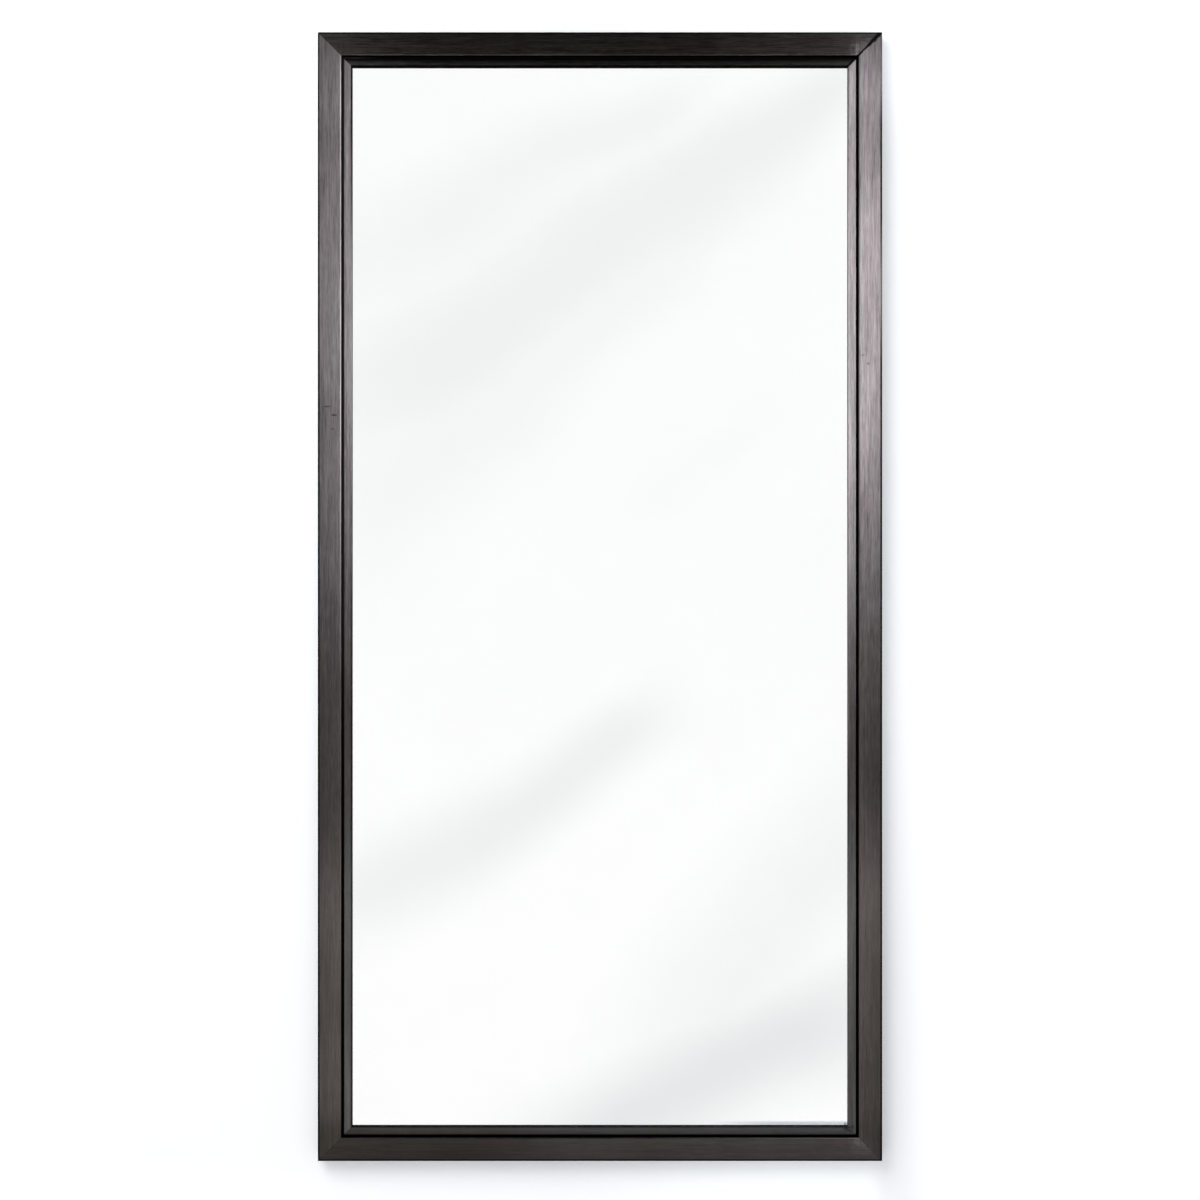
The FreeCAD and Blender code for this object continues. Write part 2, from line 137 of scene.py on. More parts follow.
class GlassSettings(PropertyGroup):
    """Tints of the glass and its silver."""

    glass: color_prop("Glass", "Tint of the float glass", (0.993, 1.0, 0.997))
    silver: color_prop("Silver", "Colour of the silver behind the glass", (0.962, 0.954, 0.958))
    sheen: color_prop("Sheen", "Colour of the soft streaks that the mirror reflects", (0.80, 0.805, 0.815))
    band: color_prop("Band", "Colour of the dulled band at the silver's lower right edge", (0.57, 0.60, 0.65))
    tarnish: color_prop("Tarnish", "Colour of the tarnished specks", (0.035, 0.08, 0.08))


class BackSettings(PropertyGroup):
    """Colours and sizes of what the back of the mirror shows."""

    board: color_prop("Board", "Colour of the fibre backing board", (0.36, 0.23, 0.13))
    zinc: color_prop("Zinc", "Colour of the zinc-plated pressings", (0.55, 0.56, 0.58))
    nickel: color_prop("Nickel", "Colour of the rings' plated wire", (0.66, 0.64, 0.60))
    oxide: color_prop("Black oxide", "Colour of the screws", (0.035, 0.034, 0.036))
    rubber: color_prop("Rubber", "Colour of the bumpers", (0.022, 0.022, 0.023))
    bead_width: number_prop("Bead width", "Width of a weld bead on the back", 0.0034, "LENGTH")
    bead_seed: IntProperty(name="Bead seed", description="Seed of the weld beads' ripples", default=7)
    screw_seed: IntProperty(name="Screw seed", description="Seed of the screws' turns", default=3)


class StageSettings(PropertyGroup):
    """Camera and light of the studio."""

    lens: number_prop("Lens", "Focal length", 85.0, "CAMERA")
    view_width: number_prop("View width", "Width that the picture spans at the frame", 1.9433, "LENGTH")
    aim_drop: number_prop("Aim drop", "Height of the mirror's middle above the picture's", 0.0055, "LENGTH")
    key_power: number_prop("Key", "Power of the key lamp", 96.0, "POWER")
    fill_power: number_prop("Fill", "Power of the fill lamp", 10.0, "POWER")
    rear_power: number_prop("Rear", "Power of the rear lamp", 60.0, "POWER")
    wall_lift: number_prop("Wall lift", "White added to the wall for the camera", 0.34, min=0.0, max=1.0)
    sheen_level: number_prop("Sheen card", "Brightness of the card that the glass shows", 1.08)
    right_level: number_prop("Right box", "Share of the right soft box's light", 1.0)
    left_level: number_prop("Left box", "Share of the left soft box's light", 1.0)
    ceiling_level: number_prop("Ceiling", "Brightness overhead", 0.08)
    floor_level: number_prop("Floor", "Brightness underfoot", 0.42)
    flag_half_width: number_prop("Flag", "Half the width of the flag between the boxes", 0.55, "LENGTH")
    flag_soft: number_prop("Flag softness", "Width of the flag's soft edge", 0.12, "LENGTH")


SETTINGS = {
    "mirror_steel": SteelSettings,
    "mirror_glass": GlassSettings,
    "mirror_back": BackSettings,
    "mirror_stage": StageSettings,
}


# Mesh helpers

# The faces of a box whose corners are listed by x, then y, then z. The lid is the one at the second y
BOX_WALLS = [(0, 1, 5, 4), (0, 2, 3, 1), (4, 5, 7, 6), (0, 4, 6, 2), (1, 3, 7, 5)]
BOX_LID = (2, 6, 7, 3)


def linked(name, data):
    """A new object at the origin."""
    piece = bpy.data.objects.new(name, data)
    bpy.context.scene.collection.objects.link(piece)
    return piece


def write_mesh(build, mesh):
    """Writes a finished build into a mesh."""
    build.to_mesh(mesh)
    build.free()
    return mesh


def smooth(mesh, degrees):
    """Smooth faces, but for edges sharper than an angle."""
    mesh.shade_smooth()
    mesh.set_sharp_from_angle(angle=math.radians(degrees))


def mesh_piece(name, verts, faces=(), smooth_angle=None, closed=True, edges=()):
    """A new object from points. A closed shape has its faces turned outward."""
    mesh = bpy.data.meshes.new(name)
    mesh.from_pydata([tuple(vert) for vert in verts], edges, faces)
    if closed:
        build = bmesh.new()
        build.from_mesh(mesh)
        bmesh.ops.recalc_face_normals(build, faces=build.faces)
        write_mesh(build, mesh)
    mesh.update()
    if smooth_angle is not None:
        smooth(mesh, smooth_angle)
    return linked(name, mesh)


def box_corners(low, high):
    return [(x, y, z) for x in (low[0], high[0]) for y in (low[1], high[1]) for z in (low[2], high[2])]


def joined(pieces, name):
    """One piece from several, with the meshes added up."""
    build = bmesh.new()
    for piece in pieces:
        build.from_mesh(piece.data)
        bpy.data.objects.remove(piece)
    return linked(name, write_mesh(build, bpy.data.meshes.new(name)))


def bake(piece):
    """Makes a piece's modifiers part of its mesh."""
    graph = bpy.context.evaluated_depsgraph_get()
    mesh = bpy.data.meshes.new_from_object(piece.evaluated_get(graph), depsgraph=graph)
    piece.modifiers.clear()
    piece.data = mesh


def edge_values(piece, values):
    """Each vertex's painted shade, below 0 a painted highlight, as an attribute that the steel's material
    reads.
    """
    piece.data.attributes.new("edge", "FLOAT", "POINT").data.foreach_set("value", values)


def arc_points(centre, radius, start, end, steps):
    """Points on an arc from one angle to another, both ends included."""
    angles = [start + (end - start) * step / steps for step in range(steps + 1)]
    return [(centre[0] + radius * math.cos(turn), centre[1] + radius * math.sin(turn)) for turn in angles]


def round_rectangle(x0, x1, y0, y1, radius, steps=6, support=0.0004):
    """Points round a rectangle, its corners in the order inner front, inner back, outer back, outer front.

    A support point on the flat beside each corner keeps the flat's shading flat."""
    points = []
    centres = (
        (x1 - radius, y0 + radius, -QUARTER_TURN),
        (x1 - radius, y1 - radius, 0.0),
        (x0 + radius, y1 - radius, QUARTER_TURN),
        (x0 + radius, y0 + radius, math.pi),
    )
    for cx, cy, start in centres:
        end = start + QUARTER_TURN
        arc = arc_points((cx, cy), radius, start, end, steps)
        before = (arc[0][0] + math.sin(start) * support, arc[0][1] - math.cos(start) * support)
        after = (arc[-1][0] - math.sin(end) * support, arc[-1][1] + math.cos(end) * support)
        points += [before, *arc, after]
    return points


def half_span(side):
    return HALF_WIDTH if side in STILES else HALF_HEIGHT


def half_run(side):
    return HALF_HEIGHT if side in STILES else HALF_WIDTH


def side_matrix(side):
    return Matrix.Rotation(SIDE_TURNS[side], 4, "Y")


def side_place(side, inset, along, y):
    """The point at an inset from a side's outer edge, as the CAD turns it."""
    return side_matrix(side) @ Vector((inset - half_span(side), y, along))


# The rings of a bar, as shares of its half length, closer together at the mitres
STATIONS = [-1.0, -0.99, -0.97, *(step / 12 for step in range(-11, 12)), 0.97, 0.99, 1.0]


def mitred_skin(side, section):
    """Rings of a bar's section, given as (inset, y) points, at each station of one side."""
    return [
        side_place(side, inset, (half_run(side) - inset) * share, y)
        for share in STATIONS for inset, y in section
    ]


def bridge(low, high, count):
    """Quads between two rings of count points, by the number of each ring's first point."""
    turns = [(index, (index + 1) % count) for index in range(count)]
    return [(low + index, low + after, high + after, high + index) for index, after in turns]


def ring_faces(rings, count, offset=0, loop=False):
    """Quads between rings that follow each other. A loop joins the last ring to the first."""
    faces = []
    for ring in range(rings if loop else rings - 1):
        faces += bridge(offset + ring * count, offset + (ring + 1) % rings * count, count)
    return faces


def dimmed(color, share):
    return tuple(value * share for value in color)


# Material helpers

class Value:
    """An output of a node. Sums, differences, products and quotients of values add their own nodes."""

    def __init__(self, nodes, socket):
        self.nodes = nodes
        self.socket = socket

    def __add__(self, other):
        return self.nodes.maths("ADD", self, other)

    def __sub__(self, other):
        return self.nodes.maths("SUBTRACT", self, other)

    def __rsub__(self, other):
        return self.nodes.maths("SUBTRACT", other, self)

    def __mul__(self, other):
        return self.nodes.maths("MULTIPLY", self, other)

    def __truediv__(self, other):
        return self.nodes.maths("DIVIDE", self, other)

    def __abs__(self):
        return self.nodes.maths("ABSOLUTE", self)


class Nodes:
    """Short ways to add and join the nodes of one tree."""

    def __init__(self, tree):
        self.tree = tree

    def feed(self, socket, value):
        """Links a value to a socket, or sets a number, colour or data block on it."""
        if isinstance(value, Value):
            self.tree.links.new(value.socket, socket)
        elif value is not None:
            if socket.type == "RGBA" and len(value) == 3:
                value = (*value, 1.0)
            socket.default_value = value

    def add(self, kind, inputs=(), **settings):
        """A new node with its settings, and its inputs by name or number."""
        node = self.tree.nodes.new(kind)
        for key, value in settings.items():
            setattr(node, key, value)
        for key, value in dict(inputs).items():
            self.feed(node.inputs[key], value)
        return node

    def out(self, kind, inputs=(), output=0, **settings):
        """One output of a new node."""
        return Value(self, self.add(kind, inputs, **settings).outputs[output])

    def outputs(self, node):
        return {output.name: Value(self, output) for output in node.outputs}

    def maths(self, operation, *values, clamp=False):
        return self.out("ShaderNodeMath", enumerate(values), operation=operation, use_clamp=clamp)

    def mix(self, factor, first, second, blend="MIX"):
        inputs = {0: factor, 6: first, 7: second}
        return self.out("ShaderNodeMix", inputs, 2, data_type="RGBA", blend_type=blend)

    def blend(self, factor, first, second):
        return self.out("ShaderNodeMix", {0: factor, 2: first, 3: second}, data_type="FLOAT")

    def span(self, value, low, high, to_low=0.0, to_high=1.0, smooth=True):
        inputs = enumerate((value, low, high, to_low, to_high))
        return self.out("ShaderNodeMapRange", inputs, interpolation_type="SMOOTHSTEP" if smooth else "LINEAR")

    def scaled(self, vector, scale):
        return self.out("ShaderNodeVectorMath", {0: vector, 1: scale}, operation="MULTIPLY")

    def noise(self, vector, scale, detail=3.0, rough=0.55):
        inputs = {"Vector": vector, "Scale": scale, "Detail": detail, "Roughness": rough}
        return self.out("ShaderNodeTexNoise", inputs)

    def cells(self, vector, scale):
        """A random number for each of many cells, and the distance from the cell's middle."""
        node = self.add("ShaderNodeTexVoronoi", {"Vector": vector, "Scale": scale}, feature="F1")
        cells = self.outputs(node)
        return self.axes(cells["Color"])[0], cells["Distance"]

    def place(self):
        return self.out("ShaderNodeTexCoord", output="Object")

    def axes(self, vector):
        return list(self.outputs(self.add("ShaderNodeSeparateXYZ", {0: vector})).values())

    def vector(self, x, y, z):
        return self.out("ShaderNodeCombineXYZ", enumerate((x, y, z)))

    def curve(self, value, stops):
        """A grey ramp through (place, level) stops."""
        node = self.add("ShaderNodeValToRGB", {0: value})
        ramp = node.color_ramp
        ramp.interpolation = "EASE"
        while len(ramp.elements) < len(stops):
            ramp.elements.new(0.5)
        for element, (place, level) in zip(ramp.elements, stops):
            element.position = place
            element.color = (level, level, level, 1.0)
        return Value(self, node.outputs[0])

    def group(self, name, **inputs):
        """The outputs of a shared group, by name."""
        inputs = {key.replace("_", " ").title(): value for key, value in inputs.items()}
        return self.outputs(self.add("ShaderNodeGroup", inputs, node_tree=GROUPS[name]))

    def clouds(self, vector, scale):
        return self.group("soft_clouds", vector=vector, scale=scale)["Cloud"]

    def specks(self, vector, scale, size):
        return self.group("small_specks", vector=vector, scale=scale, size=size)["Specks"]


def make_tree(fill, inputs, outputs, kind="ShaderNodeTree"):
    """A node group under the name of fill, the function that makes its outputs of its inputs."""
    tree = bpy.data.node_groups.new(fill.__name__, kind)
    for way, sockets in (("INPUT", inputs), ("OUTPUT", outputs)):
        for label, data in sockets.items():
            tree.interface.new_socket(name=label, in_out=way, socket_type="NodeSocket" + data)
    nodes = Nodes(tree)
    given = nodes.outputs(nodes.add("NodeGroupInput"))
    nodes.add("NodeGroupOutput", fill(nodes, given))
    return tree


def brushed_grain(nodes, given):
    """Streaks that run along one axis: wide bands, broad and fine ones, their tone and their height."""
    run = nodes.scaled(given["Vector"], given["Stretch"])
    band = nodes.noise(nodes.scaled(run, (0.36, 0.36, 0.36)), 1.0, detail=1.0)
    broad = nodes.noise(run, 1.0, detail=2.0)
    fine = nodes.noise(nodes.scaled(run, (2.9, 2.9, 2.9)), 1.0, detail=3.0, rough=0.7)
    hue = nodes.noise(nodes.scaled(run, (0.47, 0.53, 0.51)), 1.0, detail=2.0)
    return {
        "Tone": (band - 0.5) * 0.55 + (broad - 0.5) * 0.75 + (fine - 0.5) * 1.3,
        "Fine": nodes.span(fine, 0.3, 0.7),
        "Height": broad * 0.4 + fine * 0.6,
        "Hue": nodes.span(hue, 0.36, 0.64),
    }


def soft_clouds(nodes, given):
    """Soft uneven tone, as a value about one half."""
    coarse = nodes.noise(given["Vector"], given["Scale"], detail=2.0)
    fine = nodes.noise(given["Vector"], given["Scale"] * 6.3, detail=3.0)
    return {"Cloud": nodes.span(coarse * 0.7 + fine * 0.3, 0.3, 0.7)}


def mitre_marks(nodes, given):
    """Masks about the 45 degree joints: the seam's line, open at the upper right, and the ground ends.

    Along says which way the bar runs: 1 for a stile, 0 for a rail."""
    x, _, z = nodes.axes(given["Vector"])
    from_side = HALF_WIDTH - abs(x)
    from_end = HALF_HEIGHT - abs(z)
    corner = nodes.span(x + z, HALF_HEIGHT, HALF_HEIGHT + HALF_WIDTH * 0.6)
    wobble = nodes.noise(given["Vector"], 110.0, detail=4.0) - 0.5
    outer = nodes.span(from_side, 0.038, 0.0, 1.0, 2.3)
    width = (corner * outer * 0.0018 + 0.0007) * (wobble * 3.0 + 1.0)
    apart = from_side - from_end - corner * 0.0012
    line = nodes.span(abs(apart) * math.sqrt(0.5) / width, 1.0, 0.4)
    reached = nodes.blend(given["Along"], from_side, from_end) + wobble * 0.035
    inward = nodes.blend(given["Along"], from_end, from_side) + wobble * 0.02
    faded = nodes.span(inward, 0.006, 0.026, 0.1, 1.0)
    blotches = nodes.span(nodes.noise(given["Vector"], 170.0, detail=3.0), 0.35, 0.62, 0.6, 1.0)
    return {
        "Seam": line * nodes.blend(corner, 0.3, 1.0),
        "Ground": nodes.span(reached / given["Reach"], 0.95, 0.6) * (faded * blotches),
    }


def small_specks(nodes, given):
    """Small round specks with a soft edge, in about one cell out of eight."""
    number, distance = nodes.cells(given["Vector"], given["Scale"])
    return {"Specks": nodes.span(number, 0.86, 0.9) * (1.0 - nodes.span(distance, 0.0, given["Size"]))}


def scuff(nodes, given):
    """One dull dark rub on the face of a bar, about a place and with a ragged edge."""
    x, _, z = nodes.axes(given["Vector"])
    beside = (x - given["Middle X"]) / given["Width"]
    above = (z - given["Middle Z"]) / given["Height"]
    ragged = nodes.noise(given["Vector"], 420.0, detail=2.0) * 1.6
    return {"Rub": nodes.span(beside * beside + above * above + ragged, 1.7, 0.7)}


def corner_tarnish(nodes, given):
    """Dark specks about the lower right corner of the glass that shows."""
    x, _, z = nodes.axes(given["Vector"])
    beside = nodes.span(x, SIGHT_RIGHT - 0.014, SIGHT_RIGHT - 0.003)
    within = nodes.span(x, SIGHT_RIGHT + 0.014, SIGHT_RIGHT + 0.004)
    below = nodes.span(z, SIGHT_LOW + 0.008, SIGHT_LOW + 0.001)
    above = nodes.span(z, SIGHT_LOW - 0.011, SIGHT_LOW - 0.004)
    spots = nodes.span(nodes.noise(given["Vector"], 330.0, detail=3.0), 0.45, 0.52)
    return {"Specks": beside * within * (below * above) * spots}


GROUPS = {}


def make_groups():
    """The effects that several materials share."""
    for fill, inputs, outputs in (
        (brushed_grain, {"Stretch": "Vector"}, ("Tone", "Fine", "Height", "Hue")),
        (soft_clouds, {"Scale": "Float"}, ("Cloud",)),
        (mitre_marks, {"Reach": "Float", "Along": "Float"}, ("Seam", "Ground")),
        (small_specks, {"Scale": "Float", "Size": "Float"}, ("Specks",)),
        (corner_tarnish, {}, ("Specks",)),
        (scuff, dict.fromkeys(("Middle X", "Middle Z", "Width", "Height"), "Float"), ("Rub",)),
    ):
        tree = make_tree(fill, {"Vector": "Vector", **inputs}, dict.fromkeys(outputs, "Float"))
        GROUPS[tree.name] = tree


def start_material(name, roughness=0.5, metallic=0.0):
    """A material, its short ways, the inputs of its Principled BSDF and the object's coordinates."""
    material = bpy.data.materials.new(name)
    material.use_nodes = True
    nodes = Nodes(material.node_tree)
    shader = material.node_tree.nodes["Principled BSDF"].inputs
    shader["Roughness"].default_value = roughness
    shader["Metallic"].default_value = metallic
    return material, nodes, shader, nodes.place()


def bump(nodes, shader, height, strength, distance):
    relief = nodes.out("ShaderNodeBump", {"Strength": strength, "Distance": distance, "Height": height})
    nodes.feed(shader["Normal"], relief)


def paint(piece, material):
    """Gives a piece the one material."""
    piece.data.materials.clear()
    piece.data.materials.append(material)


def dress(material, *nodes):
    """Paints the objects of CAD nodes as they are."""
    for node in nodes:
        paint(frame["nodes"][node], material)


def keep(piece, material, node=None, body="root"):
    """Finishes a new piece: its material, its body and the CAD node that it stands for."""
    if material is not None:
        paint(piece, material)
    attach(piece, body)
    if node:
        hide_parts(node)


# Brushed steel

# How pale each tube is along its length, as (share, tone) from the bottom or the left: painted reflections of
# the studio's light
TUBE_TONES = {
    "left": (
        (0.0, 0.0), (0.018, 0.0), (0.05, 0.34), (0.1, 0.42), (0.15, 0.38), (0.23, 0.58), (0.29, 0.34),
        (0.4, 0.42), (0.585, 0.58), (0.655, 0.42), (0.71, 0.60), (0.88, 0.47), (0.9, 0.47), (0.95, 0.70),
        (1.0, 0.52),
    ),
    "right": (
        (0.0, 0.12), (0.02, 0.08), (0.055, 0.32), (0.124, 0.34), (0.233, 0.52), (0.34, 0.34), (0.4, 0.44),
        (0.615, 0.50), (0.65, 0.62), (0.76, 0.60), (0.81, 0.70), (0.857, 0.58), (0.905, 0.44), (0.955, 0.70),
        (1.0, 0.50),
    ),
    "top": ((0.0, 0.06), (0.2, 0.08), (0.5, 0.14), (0.8, 0.0), (1.0, 0.0)),
    "bottom": ((0.0, 0.0), (0.22, 0.0), (0.5, 0.36), (0.75, 0.32), (1.0, 0.2)),
}
# The same painted reflections for the liners
LINER_TONES = {
    "left": (
        (0.0, 0.5), (0.15, 0.48), (0.23, 0.62), (0.31, 0.38), (0.42, 0.36), (0.5, 0.5), (0.71, 0.88),
        (0.87, 0.66), (1.0, 0.8),
    ),
    "right": (
        (0.0, 0.4), (0.12, 0.36), (0.23, 0.58), (0.34, 0.38), (0.52, 0.92), (0.72, 0.58), (0.81, 0.68),
        (0.87, 0.6), (0.94, 0.92), (1.0, 0.95),
    ),
    "top": ((0.0, 0.55), (0.11, 0.5), (0.25, 0.5), (0.5, 0.44), (0.7, 0.2), (0.9, 0.1), (1.0, 0.14)),
    "bottom": ((0.0, 0.14), (0.18, 0.28), (0.5, 0.5), (0.75, 0.42), (1.0, 0.3)),
}
# The liners' lower parts are greyer than the tubes'
LINER_LOW_TINT = (0.91, 1.015, 1.05)
# How dark each liner is as a whole, as painted shade: the top liner is darkest, in the tube's painted shadow
LINER_SHADES = {"left": 1.0, "right": 1.0, "top": 0.54, "bottom": 0.87}
# Rubs on the stiles' faces: x, z, half width, half height, and how dark
SCUFFS = {
    "left": (
        (-0.4413, 0.3078, 0.0082, 0.0021, 0.55), (-0.4306, 0.2940, 0.0062, 0.0023, 0.75),
        (-0.4332, 0.2716, 0.0029, 0.0029, 0.5),
    ),
    "right": ((0.4343, 0.3774, 0.0028, 0.0028, 0.65), (0.4257, 0.3910, 0.0045, 0.0036, 0.35)),
}
GRAIN_DEPTHS = {"left": 1.35, "right": 1.42, "top": 1.9, "bottom": 0.7}
# How much paler the ground ends are at the left and at the right
GROUND_TONES = {"left": (0.03, 0.03), "right": (0.05, 0.05), "top": (0.06, 1.0), "bottom": (0.0, 0.5)}
# How dark each tube is as a whole, as painted shade that keeps the rails darker than the stiles
TUBE_SHADES = {"left": 1.0, "right": 1.0, "top": 0.8, "bottom": 0.8}


def brushed_steel(name, side, tones, shade, ground=1.0, low_tint=WHITE):
    """Dark steel brushed along its bar, and ground across it at the top rail's ends."""
    steel = bpy.context.scene.mirror_steel
    upright = side in STILES
    material, nodes, shader, place = start_material(name, steel.roughness, metallic=1.0)
    shader["Anisotropic"].default_value = 0.85
    shader["Anisotropic Rotation"].default_value = 0.0 if upright else 0.25
    shader["Specular Tint"].default_value = (0.25, 0.25, 0.25, 1.0)
    x, _, z = nodes.axes(place)
    across = 1.0 / steel.grain_width
    along = 1.0 / steel.grain_length
    standing = (across, across, along)
    lying = (along, across, across)
    share = nodes.span(z if upright else x, -half_run(side), half_run(side), smooth=False)
    grain = nodes.group("brushed_grain", vector=place, stretch=standing if upright else lying)
    marks = nodes.group("mitre_marks", vector=place, reach=steel.grind_reach, along=float(upright))
    streaks = grain["Tone"]
    if side == "top":
        crossing = nodes.group("brushed_grain", vector=place, stretch=standing)
        streaks = nodes.blend(marks["Ground"], streaks, crossing["Tone"])
        # Painted shade that darkens the top rail towards its right end
        shade = nodes.span(share, 0.75, 0.9, shade, shade * 0.76)
    uneven = (nodes.clouds(place, scale=9.0) - 0.5) * 0.12
    end_left, end_right = GROUND_TONES[side]
    polished = marks["Ground"] * nodes.span(x, -0.1, 0.1, end_left * ground, end_right * ground)
    # The tone along the bar is painted reflection of the studio's light, with random unevenness and the paler
    # ground ends
    tone = nodes.maths("ADD", nodes.curve(share, tones) + uneven, polished, clamp=True)
    color = nodes.mix(nodes.span(tone, 0.0, 0.5, smooth=False), steel.dark, steel.middle)
    color = nodes.mix(nodes.span(tone, 0.5, 1.0, smooth=False), color, steel.pale)
    depth = GRAIN_DEPTHS[side]
    # The streaks are fainter on the stiles' lower parts, where the painted reflection is dim
    if upright:
        depth = nodes.span(z, -0.3, 0.1, 0.65, 1.0) * depth
    streaked = (streaks * depth + 1.05) * shade
    for tint in (
        nodes.vector(streaked, streaked, streaked),
        nodes.mix(grain["Hue"], steel.cool, steel.warm),
        nodes.mix(nodes.span(z, -0.3, -0.4), WHITE, low_tint),
    ):
        color = nodes.mix(1.0, color, tint, "MULTIPLY")
    # The edge attribute paints shade on the rounded edges and across the face, and where it is below 0 a
    # painted highlight
    edge = nodes.out("ShaderNodeAttribute", output="Fac", attribute_name="edge")
    color = nodes.mix(edge, color, steel.rim)
    # Painted highlight, brightest between these heights
    gleam = nodes.span(z, 0.75, 0.8) * nodes.span(z, 0.875, 0.845)
    highlight_color = nodes.mix(gleam, steel.worn, steel.gleam)
    color = nodes.mix(nodes.maths("MULTIPLY", edge, -1.0, clamp=True), color, highlight_color)
    darkened = [marks["Seam"], nodes.specks(place, scale=150.0, size=0.16) * 0.6]
    for middle_x, middle_z, width, height, depth in SCUFFS.get(side, ()):
        rub = nodes.group(
            "scuff", vector=place, middle_x=middle_x, middle_z=middle_z, width=width, height=height
        )["Rub"]
        darkened.append(rub * depth)
    if side in ("right", "bottom"):
        darkened.append(nodes.group("corner_tarnish", vector=place)["Specks"] * 0.7)
    for mask in darkened:
        color = nodes.mix(mask, color, steel.rim)
    nodes.feed(shader["Base Color"], color)
    nodes.feed(shader["Roughness"], grain["Fine"] * 0.12 + (steel.roughness - 0.06))
    bump(nodes, shader, grain["Height"], strength=0.25, distance=0.0002)
    return material


# A share of the half length that lies below every bar
LOWEST = -2.0
# How much painted shade each tube's skin takes at the points of its four rounded corners, in
# round_rectangle's
# order: a support, seven on the arc, a support
TUBE_RIMS = (
    (0.0, 0.0, 0.0, 0.0, 0.0, 0.3, 0.7, 1.0, 1.0),
    (1.0, 1.0, 1.0, 1.0, 1.0, 0.9, 0.7, 0.4, 0.0),
    (0.0, 0.4, 0.7, 0.9, 0.9, 0.9, 0.7, 0.4, 0.2),
    (0.2, 0.6, 1.0, 1.0, 1.0, 1.0, 1.0, 1.0, 0.25),
)
# The same for the left stile's inner front corner, where a value below 0 is a painted highlight
INNER_RIM_SHADE_AND_HIGHLIGHT = (0.0, -0.12, -0.2, -0.2, -0.15, 0.0, 0.7, 1.0, 1.0)
# The left stile's inner corner's painted highlight is strongest above this share of its half length
HIGHLIGHT_ABOVE = 0.8
HIGHLIGHT_MOST = 1.8
HIGHLIGHT_LEAST = 0.3
# Above each share of a bar's half length: the painted shade of its outer front corner, and of the flat beside
# it
OUTER_EDGES = {
    "left": ((0.72, 1.0, 0.25), (0.5, 1.0, 0.8), (0.2, 1.0, 1.3), (LOWEST, 1.0, 0.85)),
    "right": ((0.85, 0.65, 0.2), (0.66, 1.0, 1.2), (0.47, 0.8, 0.3), (0.0, 1.0, 1.4), (LOWEST, 1.0, 0.9)),
    "top": ((LOWEST, 1.0, 0.25),),
    "bottom": ((LOWEST, 1.0, 0.7),),
}
# A last point on the front face, this far past the outer corner's support, and its painted shade, which fades
# to none at the inner corner
FLAT_REACH = 0.0004
FACE_SHADE = 0.24


class MIRROR_OT_outer_bars(Operator):
    """Build the four mitred tubes of the frame"""

    bl_idname = "mirror.outer_bars"
    bl_label = "Outer bars"

    def execute(self, context):
        outer = round_rectangle(0.0, TUBE_FACE, TUBE_FRONT, TUBE_BACK, TUBE_ROUND)
        inner = round_rectangle(
            TUBE_WALL, TUBE_FACE - TUBE_WALL, TUBE_FRONT + TUBE_WALL, TUBE_BACK - TUBE_WALL, TUBE_INNER_ROUND
        )
        for section in (outer, inner):
            section.append((section[-1][0] + FLAT_REACH, section[-1][1]))
        rings = len(STATIONS)
        count = len(outer)
        inside = rings * count
        faces = ring_faces(rings, count) + ring_faces(rings, count, inside)
        for end in (0, inside - count):
            faces += bridge(end, inside + end, count)
        for side in SIDES:
            piece = mesh_piece("tube_" + side, mitred_skin(side, outer) + mitred_skin(side, inner), faces)
            edges = [value for share in STATIONS for value in tube_edges(side, share)]
            edge_values(piece, edges + [0.0] * inside)
            drill(piece, nut_holes(side))
            material = brushed_steel("tube_steel_" + side, side, TUBE_TONES[side], TUBE_SHADES[side])
            keep(piece, material, BARS[side])
        return {"FINISHED"}


def above_middle(side, share):
    """A share of the half length, counted upwards: the right bar is the left one turned over."""
    return -share if side == "right" else share


def tube_edges(side, share):
    """How much painted shade a tube's skin takes round its section, at a share of its half length."""
    share = above_middle(side, share)
    edges = [value for rim in TUBE_RIMS for value in rim]
    if side == "left":
        painted_light = HIGHLIGHT_MOST if share > HIGHLIGHT_ABOVE else HIGHLIGHT_LEAST
        edges[:len(INNER_RIM_SHADE_AND_HIGHLIGHT)] = [value * painted_light if value < 0.0 else value for value in INNER_RIM_SHADE_AND_HIGHLIGHT]
    dark, flat = next(values for start, *values in OUTER_EDGES[side] if share > start)
    corner = len(TUBE_RIMS[-1])
    edges[-corner:] = [value * dark for value in edges[-corner:-1]] + [flat]
    return edges + [FACE_SHADE]


def nut_holes(side):
    """The x and z of each rivet nut's hole in one bar, read from the screws' seats."""
    outward = 1 if side in ("right", "top") else -1
    places = [(x, z) for seats in screw_seats().values() for x, _, z in seats]
    return [
        (x, z) for x, z in places
        if half_span(side) - outward * (x if side in STILES else z) < TUBE_FACE
    ]


